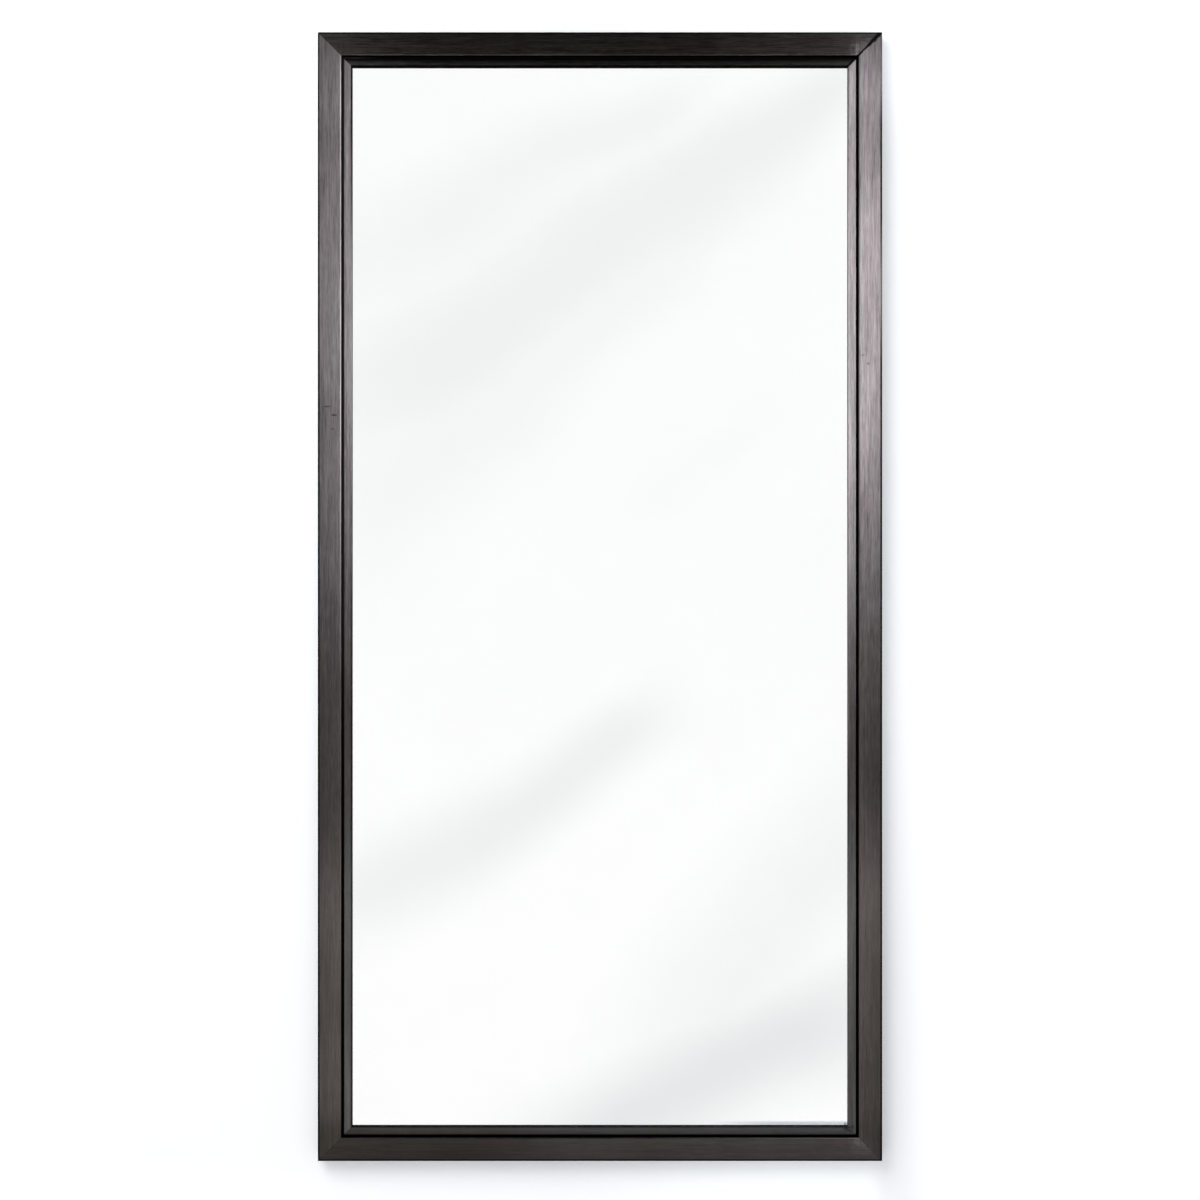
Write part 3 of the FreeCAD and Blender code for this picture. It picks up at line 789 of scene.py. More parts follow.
def drill(piece, places):
    """Cuts a countersunk hole for a rivet nut through a tube's back wall at each place."""
    above = TUBE_BACK + TUBE_WALL
    below = TUBE_BACK - 2 * TUBE_WALL
    profile = [
        (0.0, above), (NUT_HEAD_HOLE, above), (NUT_HEAD_HOLE, TUBE_BACK),
        (NUT_BODY_HOLE, TUBE_BACK - NUT_HEAD_DEPTH), (NUT_BODY_HOLE, below), (0.0, below),
    ]
    cutter = joined([lathe("cutter", profile, count=32, centre=(x, 0.0, z)) for x, z in places], "cutters")
    boolean = piece.modifiers.new("holes", "BOOLEAN")
    boolean.operation = "DIFFERENCE"
    boolean.solver = "EXACT"
    boolean.object = cutter
    bake(piece)
    bpy.data.objects.remove(cutter)
    mesh = piece.data
    smooth(mesh, degrees=40)
    # The cut leaves stray values at the holes' new points, which take no painted shade
    edge = mesh.attributes["edge"].data
    for vert in mesh.vertices:
        if any(math.hypot(vert.co.x - x, vert.co.z - z) < NUT_HOLE_REACH for x, z in places):
            edge[vert.index].value = 0.0


# How much painted shade each liner takes along its outer edge, and on its face as the tube's painted shadow
LINER_RIMS = {"left": (0.3, 0.0), "right": (0.0, 0.0), "top": (1.0, 1.0), "bottom": (0.6, 0.32)}
# How much painted shade each liner's lip takes above each share of its half length, where a value below 0 is
# a painted highlight
LIP_SHADE_AND_HIGHLIGHT = {
    "left": ((0.9, 1.0), (0.8, 0.9), (0.7, 0.7), (0.0, 0.25), (-0.2, 0.72), (-0.5, 0.88), (LOWEST, 0.74)),
    "right": ((0.85, 0.35), (0.8, -0.2), (-0.28, -0.45), (-0.45, 0.3), (LOWEST, -0.1)),
    "top": ((LOWEST, 1.0),),
    "bottom": ((LOWEST, 0.6),),
}
# How much of the lip's painted shade and highlight each point round its inner front corner takes
LIP_POINTS = (0.9, 1.0, 1.0, 1.0, 1.0, 1.0)
# Two rows of points across the lip's face, from the liner's outer edge and back from its inner edge
SHADOW_REACHES = (0.0018, 0.0042, 0.0072)
LIP_REACHES = (0.0023, 0.0015)
# How much of the tube's painted shadow each point of the first row takes
SHADOW_SHARES = (0.95, 0.65, 0.2)


class MIRROR_OT_liner(Operator):
    """Build the steel angle that lines the frame, and dress the strips beside it"""

    bl_idname = "mirror.liner"
    bl_label = "Liner"

    def execute(self, context):
        steps = 4
        support = 0.0003
        corner_y = LINER_FRONT + LINER_ROUND
        turn_in = LINER_INNER - LINER_ROUND
        turn_out = LINER_OUTER + LINER_ROUND
        rear = LINER_OUTER + LINER_THICK
        section = [(turn_in - support, LINER_FRONT)]
        section += arc_points((turn_in, corner_y), LINER_ROUND, -QUARTER_TURN, 0.0, steps)
        section += [(LINER_INNER, LINER_REAR), (rear, LINER_REAR)]
        section += [(rear, LINER_BACK), (LINER_OUTER, LINER_BACK)]
        section += arc_points((turn_out, corner_y), LINER_ROUND, math.pi, math.pi + QUARTER_TURN, steps)
        section.append((turn_out + support, LINER_FRONT))
        section += [(LINER_OUTER + reach, LINER_FRONT) for reach in SHADOW_REACHES]
        section += [(LINER_INNER - reach, LINER_FRONT) for reach in LIP_REACHES]
        rings = len(STATIONS)
        count = len(section)
        faces = ring_faces(rings, count)
        faces += [tuple(range(count)), tuple(range((rings - 1) * count, rings * count))]
        for side in SIDES:
            piece = mesh_piece("liner_angle_" + side, mitred_skin(side, section), faces, smooth_angle=40)
            edges = [value for share in STATIONS for value in liner_edges(side, share, steps + 1)]
            edge_values(piece, edges)
            material = brushed_steel(
                "liner_steel_" + side, side, LINER_TONES[side], LINER_SHADES[side],
                ground=0.3, low_tint=LINER_LOW_TINT,
            )
            keep(piece, material, "liner_" + side)
        dress(reveal_paint(), *("reveal_strip_" + side for side in SIDES))
        dress(tape_foam(), *("glazing_tape_" + side for side in SIDES))
        return {"FINISHED"}


def liner_edges(side, share, corner):
    """Painted shade and highlight round a liner's section, whose outer corner has a number of points."""
    outer, tube_shadow = LINER_RIMS[side]
    lip = next(painted_light for start, painted_light in LIP_SHADE_AND_HIGHLIGHT[side] if above_middle(side, share) > start)
    front = [lip * value for value in LIP_POINTS]
    rear = [0.6, 0.0, 0.0, outer]
    face = [tube_shadow * value for value in SHADOW_SHARES] + [0.0, lip * LIP_POINTS[0]]
    return front + rear + [outer] * corner + [max(outer * 0.6, tube_shadow)] + face


def reveal_paint():
    """Flat black paint with a faint orange-peel, greyed at the upper left by painted light."""
    material, nodes, shader, place = start_material("reveal_paint", roughness=0.85)
    cloud = nodes.clouds(place, scale=60.0)
    x, _, z = nodes.axes(place)
    # Painted light greys the paint at the upper left
    worn = nodes.span(x, 0.1 - HALF_WIDTH, 0.05 - HALF_WIDTH) * nodes.span(z, -0.3, 0.1)
    black = nodes.mix(cloud, (0.0015, 0.0015, 0.0015), (0.003, 0.003, 0.003))
    nodes.feed(shader["Base Color"], nodes.mix(worn, black, (0.045, 0.043, 0.043)))
    shader["Specular IOR Level"].default_value = 0.06
    bump(nodes, shader, cloud, strength=0.2, distance=0.0002)
    return material


def tape_foam():
    """Black foam tape with fine cells."""
    material, nodes, shader, place = start_material("tape_foam", roughness=0.9)
    specks = nodes.specks(place, scale=2500.0, size=0.5)
    nodes.feed(shader["Base Color"], nodes.mix(specks, (0.012, 0.012, 0.012), (0.03, 0.03, 0.03)))
    bump(nodes, shader, specks, strength=0.3, distance=0.0001)
    return material


# Glass and the layers behind it

def float_glass():
    material, nodes, shader, _ = start_material("float_glass", roughness=0.0)
    nodes.feed(shader["Base Color"], bpy.context.scene.mirror_glass.glass)
    shader["Transmission Weight"].default_value = 1.0
    shader["IOR"].default_value = 1.52
    return material


def silvering():
    """Silver with the least cloudiness, a dulled band at its lower right edge and a few tarnished specks."""
    settings = bpy.context.scene.mirror_glass
    material, nodes, shader, place = start_material("silvering", roughness=0.0, metallic=1.0)
    color = nodes.mix(nodes.clouds(place, scale=4.0), settings.silver, dimmed(settings.silver, 0.985))
    x, _, z = nodes.axes(place)
    reach = 0.24
    band = nodes.span(z, SIGHT_LOW + 0.0095, SIGHT_LOW + 0.0045)
    band = band * nodes.span(x, SIGHT_RIGHT - reach, SIGHT_RIGHT - reach * 0.45)
    color = nodes.mix(band, color, settings.band)
    color = nodes.mix(nodes.group("corner_tarnish", vector=place)["Specks"], color, settings.tarnish)
    nodes.feed(shader["Base Color"], color)
    return material


def silver_skin():
    """The silver as a sheet whose face lies a hair behind the glass, inside the CAD sheet."""
    low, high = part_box("silver_coat")
    gap = 0.00003
    return mesh_piece("silver_skin", box_corners((low.x, low.y + gap, low.z), high), BOX_WALLS + [BOX_LID])


def plain_plastic(name, light, shade, roughness, scale, grain_depth=0.0001):
    """Plastic or rubber with a soft uneven tone and a fine moulded texture."""
    material, nodes, shader, place = start_material(name, roughness)
    grit = nodes.noise(place, 2600.0, detail=2.0)
    nodes.feed(shader["Base Color"], nodes.mix(nodes.clouds(place, scale), shade, light))
    nodes.feed(shader["Roughness"], nodes.span(grit, 0.2, 0.8, roughness - 0.08, roughness + 0.08))
    bump(nodes, shader, grit, strength=0.35, distance=grain_depth)
    return material


def fibre_board():
    """Pressed fibre board: fine fibres, darker flecks and a slow change of tone."""
    board = bpy.context.scene.mirror_back.board
    material, nodes, shader, place = start_material("fibre_board", roughness=0.78)
    fibre = nodes.noise(nodes.scaled(place, (900.0, 900.0, 240.0)), 1.0, detail=4.0, rough=0.7)
    tone = nodes.blend(0.5, nodes.clouds(place, scale=5.0), nodes.span(fibre, 0.3, 0.7))
    color = nodes.mix(tone, dimmed(board, 0.72), board)
    flecks = nodes.specks(place, scale=420.0, size=0.5) * 0.6
    nodes.feed(shader["Base Color"], nodes.mix(flecks, color, dimmed(board, 0.35)))
    bump(nodes, shader, fibre, strength=0.3, distance=0.0002)
    return material


class MIRROR_OT_glazing(Operator):
    """Dress the glass, its silver and the layers that back it"""

    bl_idname = "mirror.glazing"
    bl_label = "Glazing"

    def execute(self, context):
        dress(float_glass(), "mirror_glass")
        keep(silver_skin(), silvering(), "silver_coat")
        film = plain_plastic("film_weave", (0.62, 0.65, 0.68), (0.5, 0.53, 0.56), 0.5, 40.0)
        dress(film, "safety_film")
        foam = plain_plastic("foam_cells", (0.86, 0.86, 0.84), (0.78, 0.78, 0.76), 0.85, 200.0, 0.0003)
        dress(foam, "foam_sheet")
        board = eased_copy("backing_board", "fibre_board", width=0.0005)
        keep(board, fibre_board(), "backing_board")
        rubber = plain_plastic("setting_rubber", (0.03, 0.03, 0.03), (0.018, 0.018, 0.018), 0.7, 90.0)
        dress(rubber, "setting_blocks", "edge_shims")
        return {"FINISHED"}


# Fittings on the back

# Sizes that the boxes do not give, as in the CAD
SCREW_RADIUS = 0.002
SCREW_LENGTH = 0.010
SCREW_HEAD_RADIUS = 0.0038
SCREW_HEAD_HEIGHT = 0.0022
SCREW_HEAD_RIM = 0.0005
SOCKET_FLATS = 0.0025
SOCKET_DEPTH = 0.0013
NUT_HEAD_HOLE = 0.00405
NUT_BODY_HOLE = 0.00305
NUT_HEAD_DEPTH = 0.001
# Within this of a nut's middle, a tube's points belong to its hole
NUT_HOLE_REACH = NUT_HEAD_HOLE * 1.01
BUTTON_PIVOT_RADIUS = 0.007
BUTTON_TIP_RADIUS = 0.0045
BUTTON_REACH = 0.0265
BUTTON_BORE = 0.00205
STRAP_HOLE_DROPS = (0.031, 0.045)
RING_WIRE = 0.002
RING_HALF_WIDTH = 0.014
RING_CORNER = 0.005
RING_ARM = 0.008
BUMPER_FLOOR = 0.003
# Points of the step round a bumper's foot, as (inset, height), and of the groove round its face, as
# (distance from the groove's middle, depth)
BUMPER_STEP = ((0.0001, 0.0016), (0.0004, 0.0019))
BUMPER_GROOVE = ((0.0005, 0.0), (0.0003, 0.0003), (-0.0003, 0.0003), (-0.0005, 0.0))


def plated_metal(name, base, roughness, mottle):
    """Plated metal with a crystalline mottle."""
    material, nodes, shader, place = start_material(name, roughness, metallic=1.0)
    flake, _ = nodes.cells(place, 700.0)
    cloud = nodes.clouds(place, scale=55.0)
    color = nodes.mix(nodes.blend(0.5, cloud, flake), dimmed(base, 1.0 - mottle), base)
    nodes.feed(shader["Base Color"], color)
    nodes.feed(shader["Roughness"], nodes.span(cloud, 0.0, 1.0, roughness - 0.06, roughness + 0.08))
    bump(nodes, shader, flake, strength=0.08, distance=0.0001)
    return material


def button_names():
    return [name for name in frame["nodes"] if name.startswith("turn_button_") and name[-1].isdigit()]


def bumper_names():
    return ["wall_bumper_%s_%s" % (level, side) for level in ("upper", "lower") for side in STILES]


def joint_place(node):
    """Where the joint stands that moves a node."""
    return next(Vector(joint["pos_m"]) for joint in frame["joints"] if joint["child"] == node + "_body")


def box_middle(node):
    low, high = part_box(node)
    return (Vector(low) + Vector(high)) / 2


def screw_seats():
    """The x, y and z of the seat of every screw, by the CAD node that holds it."""
    pivots = [joint_place("hanger_ring_" + side) for side in STILES]
    places = {
        "turn_button_screws": [joint_place(name) for name in button_names()],
        "hanger_screws": [
            Vector((pivot.x, 0.0, pivot.z - drop)) for pivot in pivots for drop in STRAP_HOLE_DROPS
        ],
        "bumper_screws": [box_middle(name) for name in bumper_names()],
    }
    return {
        node: [(place.x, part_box(node)[1].y - SCREW_HEAD_HEIGHT, place.z) for place in found]
        for node, found in places.items()
    }


def lathe(name, profile, count, centre=(0.0, 0.0, 0.0), hexes=()):
    """A closed shape turned about Y from (radius, y) points. Rings named in hexes are six-sided."""
    sixth = math.tau / 6
    verts = []
    rings = []
    for index, (radius, y) in enumerate(profile):
        ring = []
        for step in range(count if radius else 1):
            angle = math.tau * step / count
            reach = radius / math.cos(angle % sixth - sixth / 2) if index in hexes else radius
            ring.append(len(verts))
            verts.append(Vector(centre) + Vector((reach * math.cos(angle), y, reach * math.sin(angle))))
        rings.append(ring)
    pairs = list(zip(rings, rings[1:]))
    if len(rings[0]) > 1:
        pairs.append((rings[-1], rings[0]))
    faces = []
    for low, high in pairs:
        for step in range(count):
            after = (step + 1) % count
            if len(low) == 1:
                faces.append((low[0], high[step], high[after]))
            elif len(high) == 1:
                faces.append((low[step], low[after], high[0]))
            else:
                faces.append((low[step], low[after], high[after], high[step]))
    return mesh_piece(name, verts, faces, smooth_angle=35)


def eased_copy(node, name, width):
    """A copy of a CAD node with its triangles joined and its sharp edges rounded."""
    build = bmesh.new()
    build.from_mesh(frame["nodes"][node].data)
    bmesh.ops.remove_doubles(build, verts=build.verts, dist=0.000002)
    bmesh.ops.dissolve_limit(build, angle_limit=math.radians(1), verts=build.verts, edges=build.edges)
    sharp = [
        edge for edge in build.edges
        if len(edge.link_faces) == 2 and edge.calc_face_angle() > math.radians(35)
    ]
    bmesh.ops.bevel(
        build, geom=sharp, offset=width, segments=3, profile=0.5, affect="EDGES", clamp_overlap=True
    )
    bmesh.ops.recalc_face_normals(build, faces=build.faces)
    mesh = write_mesh(build, bpy.data.meshes.new(name))
    smooth(mesh, degrees=40)
    return linked(name, mesh)


# Geometry Nodes

def geometry_tree(fill, inputs):
    """A Geometry Nodes tree that turns one geometry into another, with named inputs and a material."""
    geometry = {"Geometry": "Geometry"}
    return make_tree(fill, {**geometry, **inputs, "Material": "Material"}, geometry, "GeometryNodeTree")


def run_geometry(piece, tree, **values):
    """Runs a tree on a piece with its inputs set, and keeps the result as a plain mesh."""
    modifier = piece.modifiers.new(tree.name, "NODES")
    modifier.node_group = tree
    for item in tree.interface.items_tree:
        key = item.name.lower().replace(" ", "_")
        if item.in_out == "INPUT" and key in values:
            modifier[item.identifier] = values[key]
    bake(piece)


def random_value(nodes, given, low, high):
    """A random number for each point, from the tree's seed."""
    inputs = {2: low, 3: high, "Seed": given["Seed"]}
    return nodes.out("FunctionNodeRandomValue", inputs, 1, data_type="FLOAT")


def real_instances(nodes, given, **inputs):
    """Ends a tree: an instance on each point, made real and given the tree's material."""
    inputs = {key.title(): value for key, value in inputs.items()}
    placed = nodes.out("GeometryNodeInstanceOnPoints", inputs)
    real = nodes.out("GeometryNodeRealizeInstances", {"Geometry": placed})
    painted = nodes.out("GeometryNodeSetMaterial", {"Geometry": real, "Material": given["Material"]})
    return {"Geometry": painted}


def screws_on_seats(nodes, given):
    """Puts a screw at every point, each turned by its own random angle."""
    screw = nodes.out("GeometryNodeObjectInfo", {"Object": given["Screw"]}, "Geometry")
    turn = random_value(nodes, given, 0.0, math.tau)
    size = given["Head Radius"] / SCREW_HEAD_RADIUS
    return real_instances(
        nodes, given, points=given["Geometry"], instance=screw,
        rotation=nodes.vector(0.0, turn, 0.0), scale=nodes.vector(size, size, size),
    )


def weld_beads(nodes, given):
    """Lays the overlapping ripples of a weld along every edge of a mesh."""
    curve = nodes.out("GeometryNodeMeshToCurve", {"Mesh": given["Geometry"]})
    points = nodes.out("GeometryNodeResampleCurve", {"Curve": curve, "Length": given["Pitch"]}, mode="LENGTH")
    ripple = nodes.out("GeometryNodeMeshUVSphere", {"Segments": 14, "Rings": 7, "Radius": 1.0})
    ripple = nodes.out("GeometryNodeSetShadeSmooth", {"Geometry": ripple})
    tangent = nodes.out("GeometryNodeInputTangent")
    align = nodes.out("FunctionNodeAlignEulerToVector", {"Vector": tangent}, axis="X", pivot_axis="Y")
    half = given["Width"] * 0.5 * random_value(nodes, given, 0.82, 1.08)
    size = nodes.vector(given["Pitch"] * 1.5, given["Height"], half)
    return real_instances(nodes, given, points=points, instance=ripple, rotation=align, scale=size)


class MIRROR_OT_welds(Operator):
    """Lay the weld beads across the mitres and the tacks beside the liner"""

    bl_idname = "mirror.welds"
    bl_label = "Welds"

    def execute(self, context):
        back = context.scene.mirror_back
        bead = weld_metal()
        tree = geometry_tree(
            weld_beads, {"Width": "Float", "Height": "Float", "Pitch": "Float", "Seed": "Int"}
        )

        def lay(name, lines, slot, **values):
            """A bead along each line from one point to another, as a piece."""
            verts = [point for line in lines for point in line]
            edges = [(index, index + 1) for index in range(0, len(verts), 2)]
            piece = mesh_piece(name, verts, closed=False, edges=edges)
            run_geometry(piece, tree, material=bead, **values)
            keep(piece, None)

        end_gap = 0.0022
        bead_lift = 0.0001
        bead_y = TUBE_BACK + bead_lift
        mitres = [
            [
                (x_sign * (HALF_WIDTH - inset), bead_y, z_sign * (HALF_HEIGHT - inset))
                for inset in (end_gap, TUBE_FACE - end_gap)
            ]
            for x_sign in (-1, 1) for z_sign in (-1, 1)
        ]
        lay(
            "mitre_welds", mitres, "frame_steel",
            width=back.bead_width, height=0.0006, pitch=0.0011, seed=back.bead_seed,
        )
        strip_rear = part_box("reveal_strip_left")[1].y
        middle = (TUBE_FACE + LINER_OUTER) / 2
        half_tack = 0.008
        end_share = 0.93
        overlap = 0.0004
        tacks = []
        for side in SIDES:
            count = 8 if side in STILES else 4
            for index in range(count):
                along = half_run(side) * (2 * (index + 0.5) / count - 1) * end_share
                ends = (along - half_tack, along + half_tack)
                tacks.append([side_place(side, middle, end, strip_rear) for end in ends])
        lay(
            "liner_tacks", tacks, "liner_steel",
            width=LINER_OUTER - TUBE_FACE + overlap, height=0.0016, pitch=0.0013, seed=back.bead_seed + 1,
        )
        return {"FINISHED"}


def weld_metal():
    """Weld metal left as it cooled: dark scale with straw and blue tints."""
    steel = bpy.context.scene.mirror_steel
    material, nodes, shader, place = start_material("weld_metal", roughness=0.48, metallic=1.0)
    cloud = nodes.clouds(place, scale=160.0)
    tint = nodes.span(nodes.noise(place, 90.0, detail=2.0), 0.35, 0.65)
    scale = nodes.mix(tint, (0.20, 0.15, 0.10), (0.13, 0.14, 0.19))
    nodes.feed(shader["Base Color"], nodes.mix(cloud, scale, steel.middle))
    nodes.feed(shader["Roughness"], nodes.span(cloud, 0.0, 1.0, 0.38, 0.6))
    bump(nodes, shader, nodes.noise(place, 1800.0), strength=0.3, distance=0.0001)
    return material


def button_outline(count):
    """Points round a turn button that points along +X, by angle about its pivot."""
    tip = BUTTON_REACH - BUTTON_TIP_RADIUS
    lean = math.acos((BUTTON_PIVOT_RADIUS - BUTTON_TIP_RADIUS) / tip)
    big = count // 2
    straight = count // 12
    small = count - big - 2 * (straight - 1)
    pivot_arc = arc_points((0.0, 0.0), BUTTON_PIVOT_RADIUS, lean, math.tau - lean, big - 1)
    tip_arc = arc_points((tip, 0.0), BUTTON_TIP_RADIUS, -lean, lean, small - 1)
    pivot_end, tip_end = [[Vector((x, 0.0, z)) for x, z in arc] for arc in (pivot_arc, tip_arc)]
    shares = [step / straight for step in range(1, straight)]
    low = [pivot_end[-1].lerp(tip_end[0], share) for share in shares]
    high = [tip_end[-1].lerp(pivot_end[0], share) for share in shares]
    return pivot_end + low + tip_end + high


def turn_button_mesh(name, side, pivot, front, rear):
    """A pressed plate with rounded edges, a sunk tip that bears on the board and a plain bore."""
    outline = button_outline(120)
    ease = 0.00035
    tip = Vector((BUTTON_REACH - BUTTON_TIP_RADIUS, 0.0, 0.0))
    press = 0.0004
    press_radius = 0.0030

    def sunk(point):
        away = min((point - tip).length / press_radius, 1.0)
        return -press * (0.5 + 0.5 * math.cos(math.pi * away))

    def ring(inset, share, y):
        """Points between the outline, drawn in by an inset, and the bore."""
        points = []
        for point in outline:
            centre = tip if point.x > tip.x * 0.5 else Vector((0.0, 0.0, 0.0))
            inward = point + (centre - point).normalized() * inset
            place = inward.lerp(point.normalized() * BUTTON_BORE, share)
            points.append(Vector((place.x, y + sunk(place), place.z)))
        return points

    spread = [0.0, 0.02, 0.1, 0.2, 0.3, 0.4, 0.5, 0.6, 0.7, 0.8, 0.9, 0.97, 1.0]
    corner = 4
    angles = [QUARTER_TURN * step / corner for step in range(corner + 1)]
    rounds = [(ease * (1 - math.sin(angle)), ease * (1 - math.cos(angle))) for angle in angles]
    rings = [ring(ease, share, front) for share in reversed(spread)]
    rings += [ring(side_ease, 0.0, front + face_ease) for side_ease, face_ease in rounds[1:]]
    rings += [ring(face_ease, 0.0, rear - side_ease) for side_ease, face_ease in rounds]
    rings += [ring(ease, share, rear) for share in spread[1:]]
    turn = side_matrix(side)
    offset = Vector((pivot.x, 0.0, pivot.z))
    verts = [turn @ point + offset for points in rings for point in points]
    faces = ring_faces(len(rings), len(outline), loop=True)
    return mesh_piece(name, verts, faces, smooth_angle=50)


class MIRROR_OT_turn_buttons(Operator):
    """Build the turn buttons, and dress their washers and rivet nuts"""

    bl_idname = "mirror.turn_buttons"
    bl_label = "Turn buttons"

    def execute(self, context):
        zinc = plated_metal("zinc_plate", context.scene.mirror_back.zinc, roughness=0.36, mottle=0.22)
        for name in button_names():
            low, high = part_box(name)
            side = name.split("_")[2]
            piece = turn_button_mesh("plate_" + name, side, joint_place(name), low.y, high.y)
            keep(piece, zinc, name, name + "_body")
        dress(zinc, "rivet_nuts")
        nylon = plain_plastic("washer_nylon", (0.8, 0.79, 0.74), (0.7, 0.69, 0.64), 0.45, 80.0)
        dress(nylon, "turn_button_washers")
        return {"FINISHED"}


def ring_path():
    """The D ring's centre line, from the pivot down, as (x, z) points."""
    corner_x = RING_HALF_WIDTH - RING_CORNER
    points = [(corner_x * step / 6, 0.0) for step in range(-6, 6)]
    points += arc_points((corner_x, -RING_CORNER), RING_CORNER, QUARTER_TURN, 0.0, steps=8)
    points += arc_points((0.0, -RING_ARM), RING_HALF_WIDTH, 0.0, -math.pi, steps=40)
    points += arc_points((-corner_x, -RING_CORNER), RING_CORNER, math.pi, QUARTER_TURN, steps=8)[:-1]
    return points


def ring_mesh(name, pivot, tilt):
    """Round wire along the ring's path, turned by the tilt that it hangs at."""
    path = ring_path()
    count = 20
    turn = Matrix.Rotation(tilt, 4, "X")
    verts = []
    for index, (x, z) in enumerate(path):
        run = (Vector(path[(index + 1) % len(path)]) - Vector(path[index - 1])).normalized()
        outward = Vector((-run.y, 0.0, run.x))
        for step in range(count):
            angle = math.tau * step / count
            local = Vector((x, RING_WIRE * math.sin(angle), z)) + outward * RING_WIRE * math.cos(angle)
            verts.append(turn @ local + pivot)
    return mesh_piece(name, verts, ring_faces(len(path), count, loop=True), smooth_angle=60)


class MIRROR_OT_hangers(Operator):
    """Build the strap hangers and their D rings"""

    bl_idname = "mirror.hangers"
    bl_label = "Hangers"

    def execute(self, context):
        back = context.scene.mirror_back
        zinc = plated_metal("strap_zinc", back.zinc, roughness=0.32, mottle=0.18)
        nickel = plated_metal("ring_nickel", back.nickel, roughness=0.2, mottle=0.08)
        for side in STILES:
            strap = eased_copy("hanger_strap_" + side, "strap_" + side, width=0.00018)
            keep(strap, zinc, "hanger_strap_" + side)
            node = "hanger_ring_" + side
            pivot = joint_place(node)
            tilt = math.asin((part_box(node)[1].y - RING_WIRE - pivot.y) / (RING_ARM + RING_HALF_WIDTH))
            keep(ring_mesh("ring_" + side, pivot, tilt), nickel, node, node + "_body")
        return {"FINISHED"}


def screw_profile():
    """A socket screw from its tip to its socket's floor, and the numbers of the socket's six-sided rings."""
    chamfer = 0.0004
    pitch = 0.0007
    thread_depth = 0.00022
    trim = 0.0001
    mouth_width = 1.28
    mouth_depth = 0.00012
    floor_width = 0.8
    cone_depth = 0.0004
    shoulder = SCREW_HEAD_RADIUS - SCREW_HEAD_HEIGHT / 2
    apothem = SOCKET_FLATS / 2
    floor = SCREW_HEAD_HEIGHT - SOCKET_DEPTH
    profile = [(0.0, -SCREW_LENGTH), (SCREW_RADIUS - chamfer, -SCREW_LENGTH)]
    for index in range(int((SCREW_LENGTH - 2 * chamfer) / pitch)):
        y = -SCREW_LENGTH + chamfer + index * pitch
        profile += [(SCREW_RADIUS - thread_depth, y), (SCREW_RADIUS, y + pitch * 0.5)]
    profile += [(SCREW_RADIUS - trim, 0.0), (SCREW_HEAD_RADIUS - trim, 0.0)]
    profile += [(SCREW_HEAD_RADIUS, trim), (SCREW_HEAD_RADIUS, SCREW_HEAD_RIM)]
    for step in range(1, 6):
        angle = QUARTER_TURN * step / 6
        profile.append((
            SCREW_HEAD_RADIUS - (SCREW_HEAD_HEIGHT / 2) * (1 - math.cos(angle)),
            SCREW_HEAD_RIM + (SCREW_HEAD_HEIGHT - SCREW_HEAD_RIM) * math.sin(angle),
        ))
    profile += [(shoulder, SCREW_HEAD_HEIGHT), (apothem * mouth_width, SCREW_HEAD_HEIGHT)]
    first_hex = len(profile)
    profile += [(apothem, SCREW_HEAD_HEIGHT - mouth_depth), (apothem, floor)]
    profile += [(apothem * floor_width, floor - trim), (0.0, floor - cone_depth)]
    return profile, range(first_hex, first_hex + 3)


class MIRROR_OT_screws(Operator):
    """Set a socket screw in every seat"""

    bl_idname = "mirror.screws"
    bl_label = "Screws"

    def execute(self, context):
        back = context.scene.mirror_back
        oxide = plated_metal("screw_oxide", back.oxide, roughness=0.4, mottle=0.3)
        profile, hexes = screw_profile()
        template = lathe("screw_template", profile, count=48, hexes=hexes)
        tree = geometry_tree(screws_on_seats, {"Screw": "Object", "Head Radius": "Float", "Seed": "Int"})
        for shift, (node, seats) in enumerate(screw_seats().items()):
            piece = mesh_piece("set_" + node, seats, closed=False)
            run_geometry(
                piece, tree, screw=template, head_radius=SCREW_HEAD_RADIUS, seed=back.screw_seed + shift,
                material=oxide,
            )
            keep(piece, None, node)
        bpy.data.objects.remove(template)
        return {"FINISHED"}


class MIRROR_OT_bumpers(Operator):
    """Build the rubber wall bumpers"""

    bl_idname = "mirror.bumpers"
    bl_label = "Bumpers"

    def execute(self, context):
        rubber = context.scene.mirror_back.rubber
        material = plain_plastic("bumper_rubber", rubber, dimmed(rubber, 0.6), 0.72, 120.0)
        base = 0.009
        face = 0.008
        ease = 0.0007
        seat_radius = 0.0046
        bore = 0.0022
        groove = (seat_radius + face - ease) / 2
        for name in bumper_names():
            low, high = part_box(name)
            middle = box_middle(name)
            seat = low.y + BUMPER_FLOOR
            profile = [(bore, low.y), (base - ease / 2, low.y), (base, low.y + ease / 2)]
            profile += [(base - inset, low.y + height) for inset, height in BUMPER_STEP]
            profile += arc_points((face - ease, high.y - ease), ease, 0.0, QUARTER_TURN, steps=6)
            profile += [(groove + offset, high.y - depth) for offset, depth in BUMPER_GROOVE]
            lip = (seat_radius + ease / 2, high.y - ease / 2)
            profile += arc_points(lip, ease / 2, QUARTER_TURN, math.pi, steps=4)
            profile += [(seat_radius, seat), (bore, seat)]
            piece = lathe("foot_" + name, profile, count=72, centre=(middle.x, 0.0, middle.z))
            keep(piece, material, name)
        return {"FINISHED"}


# Studio

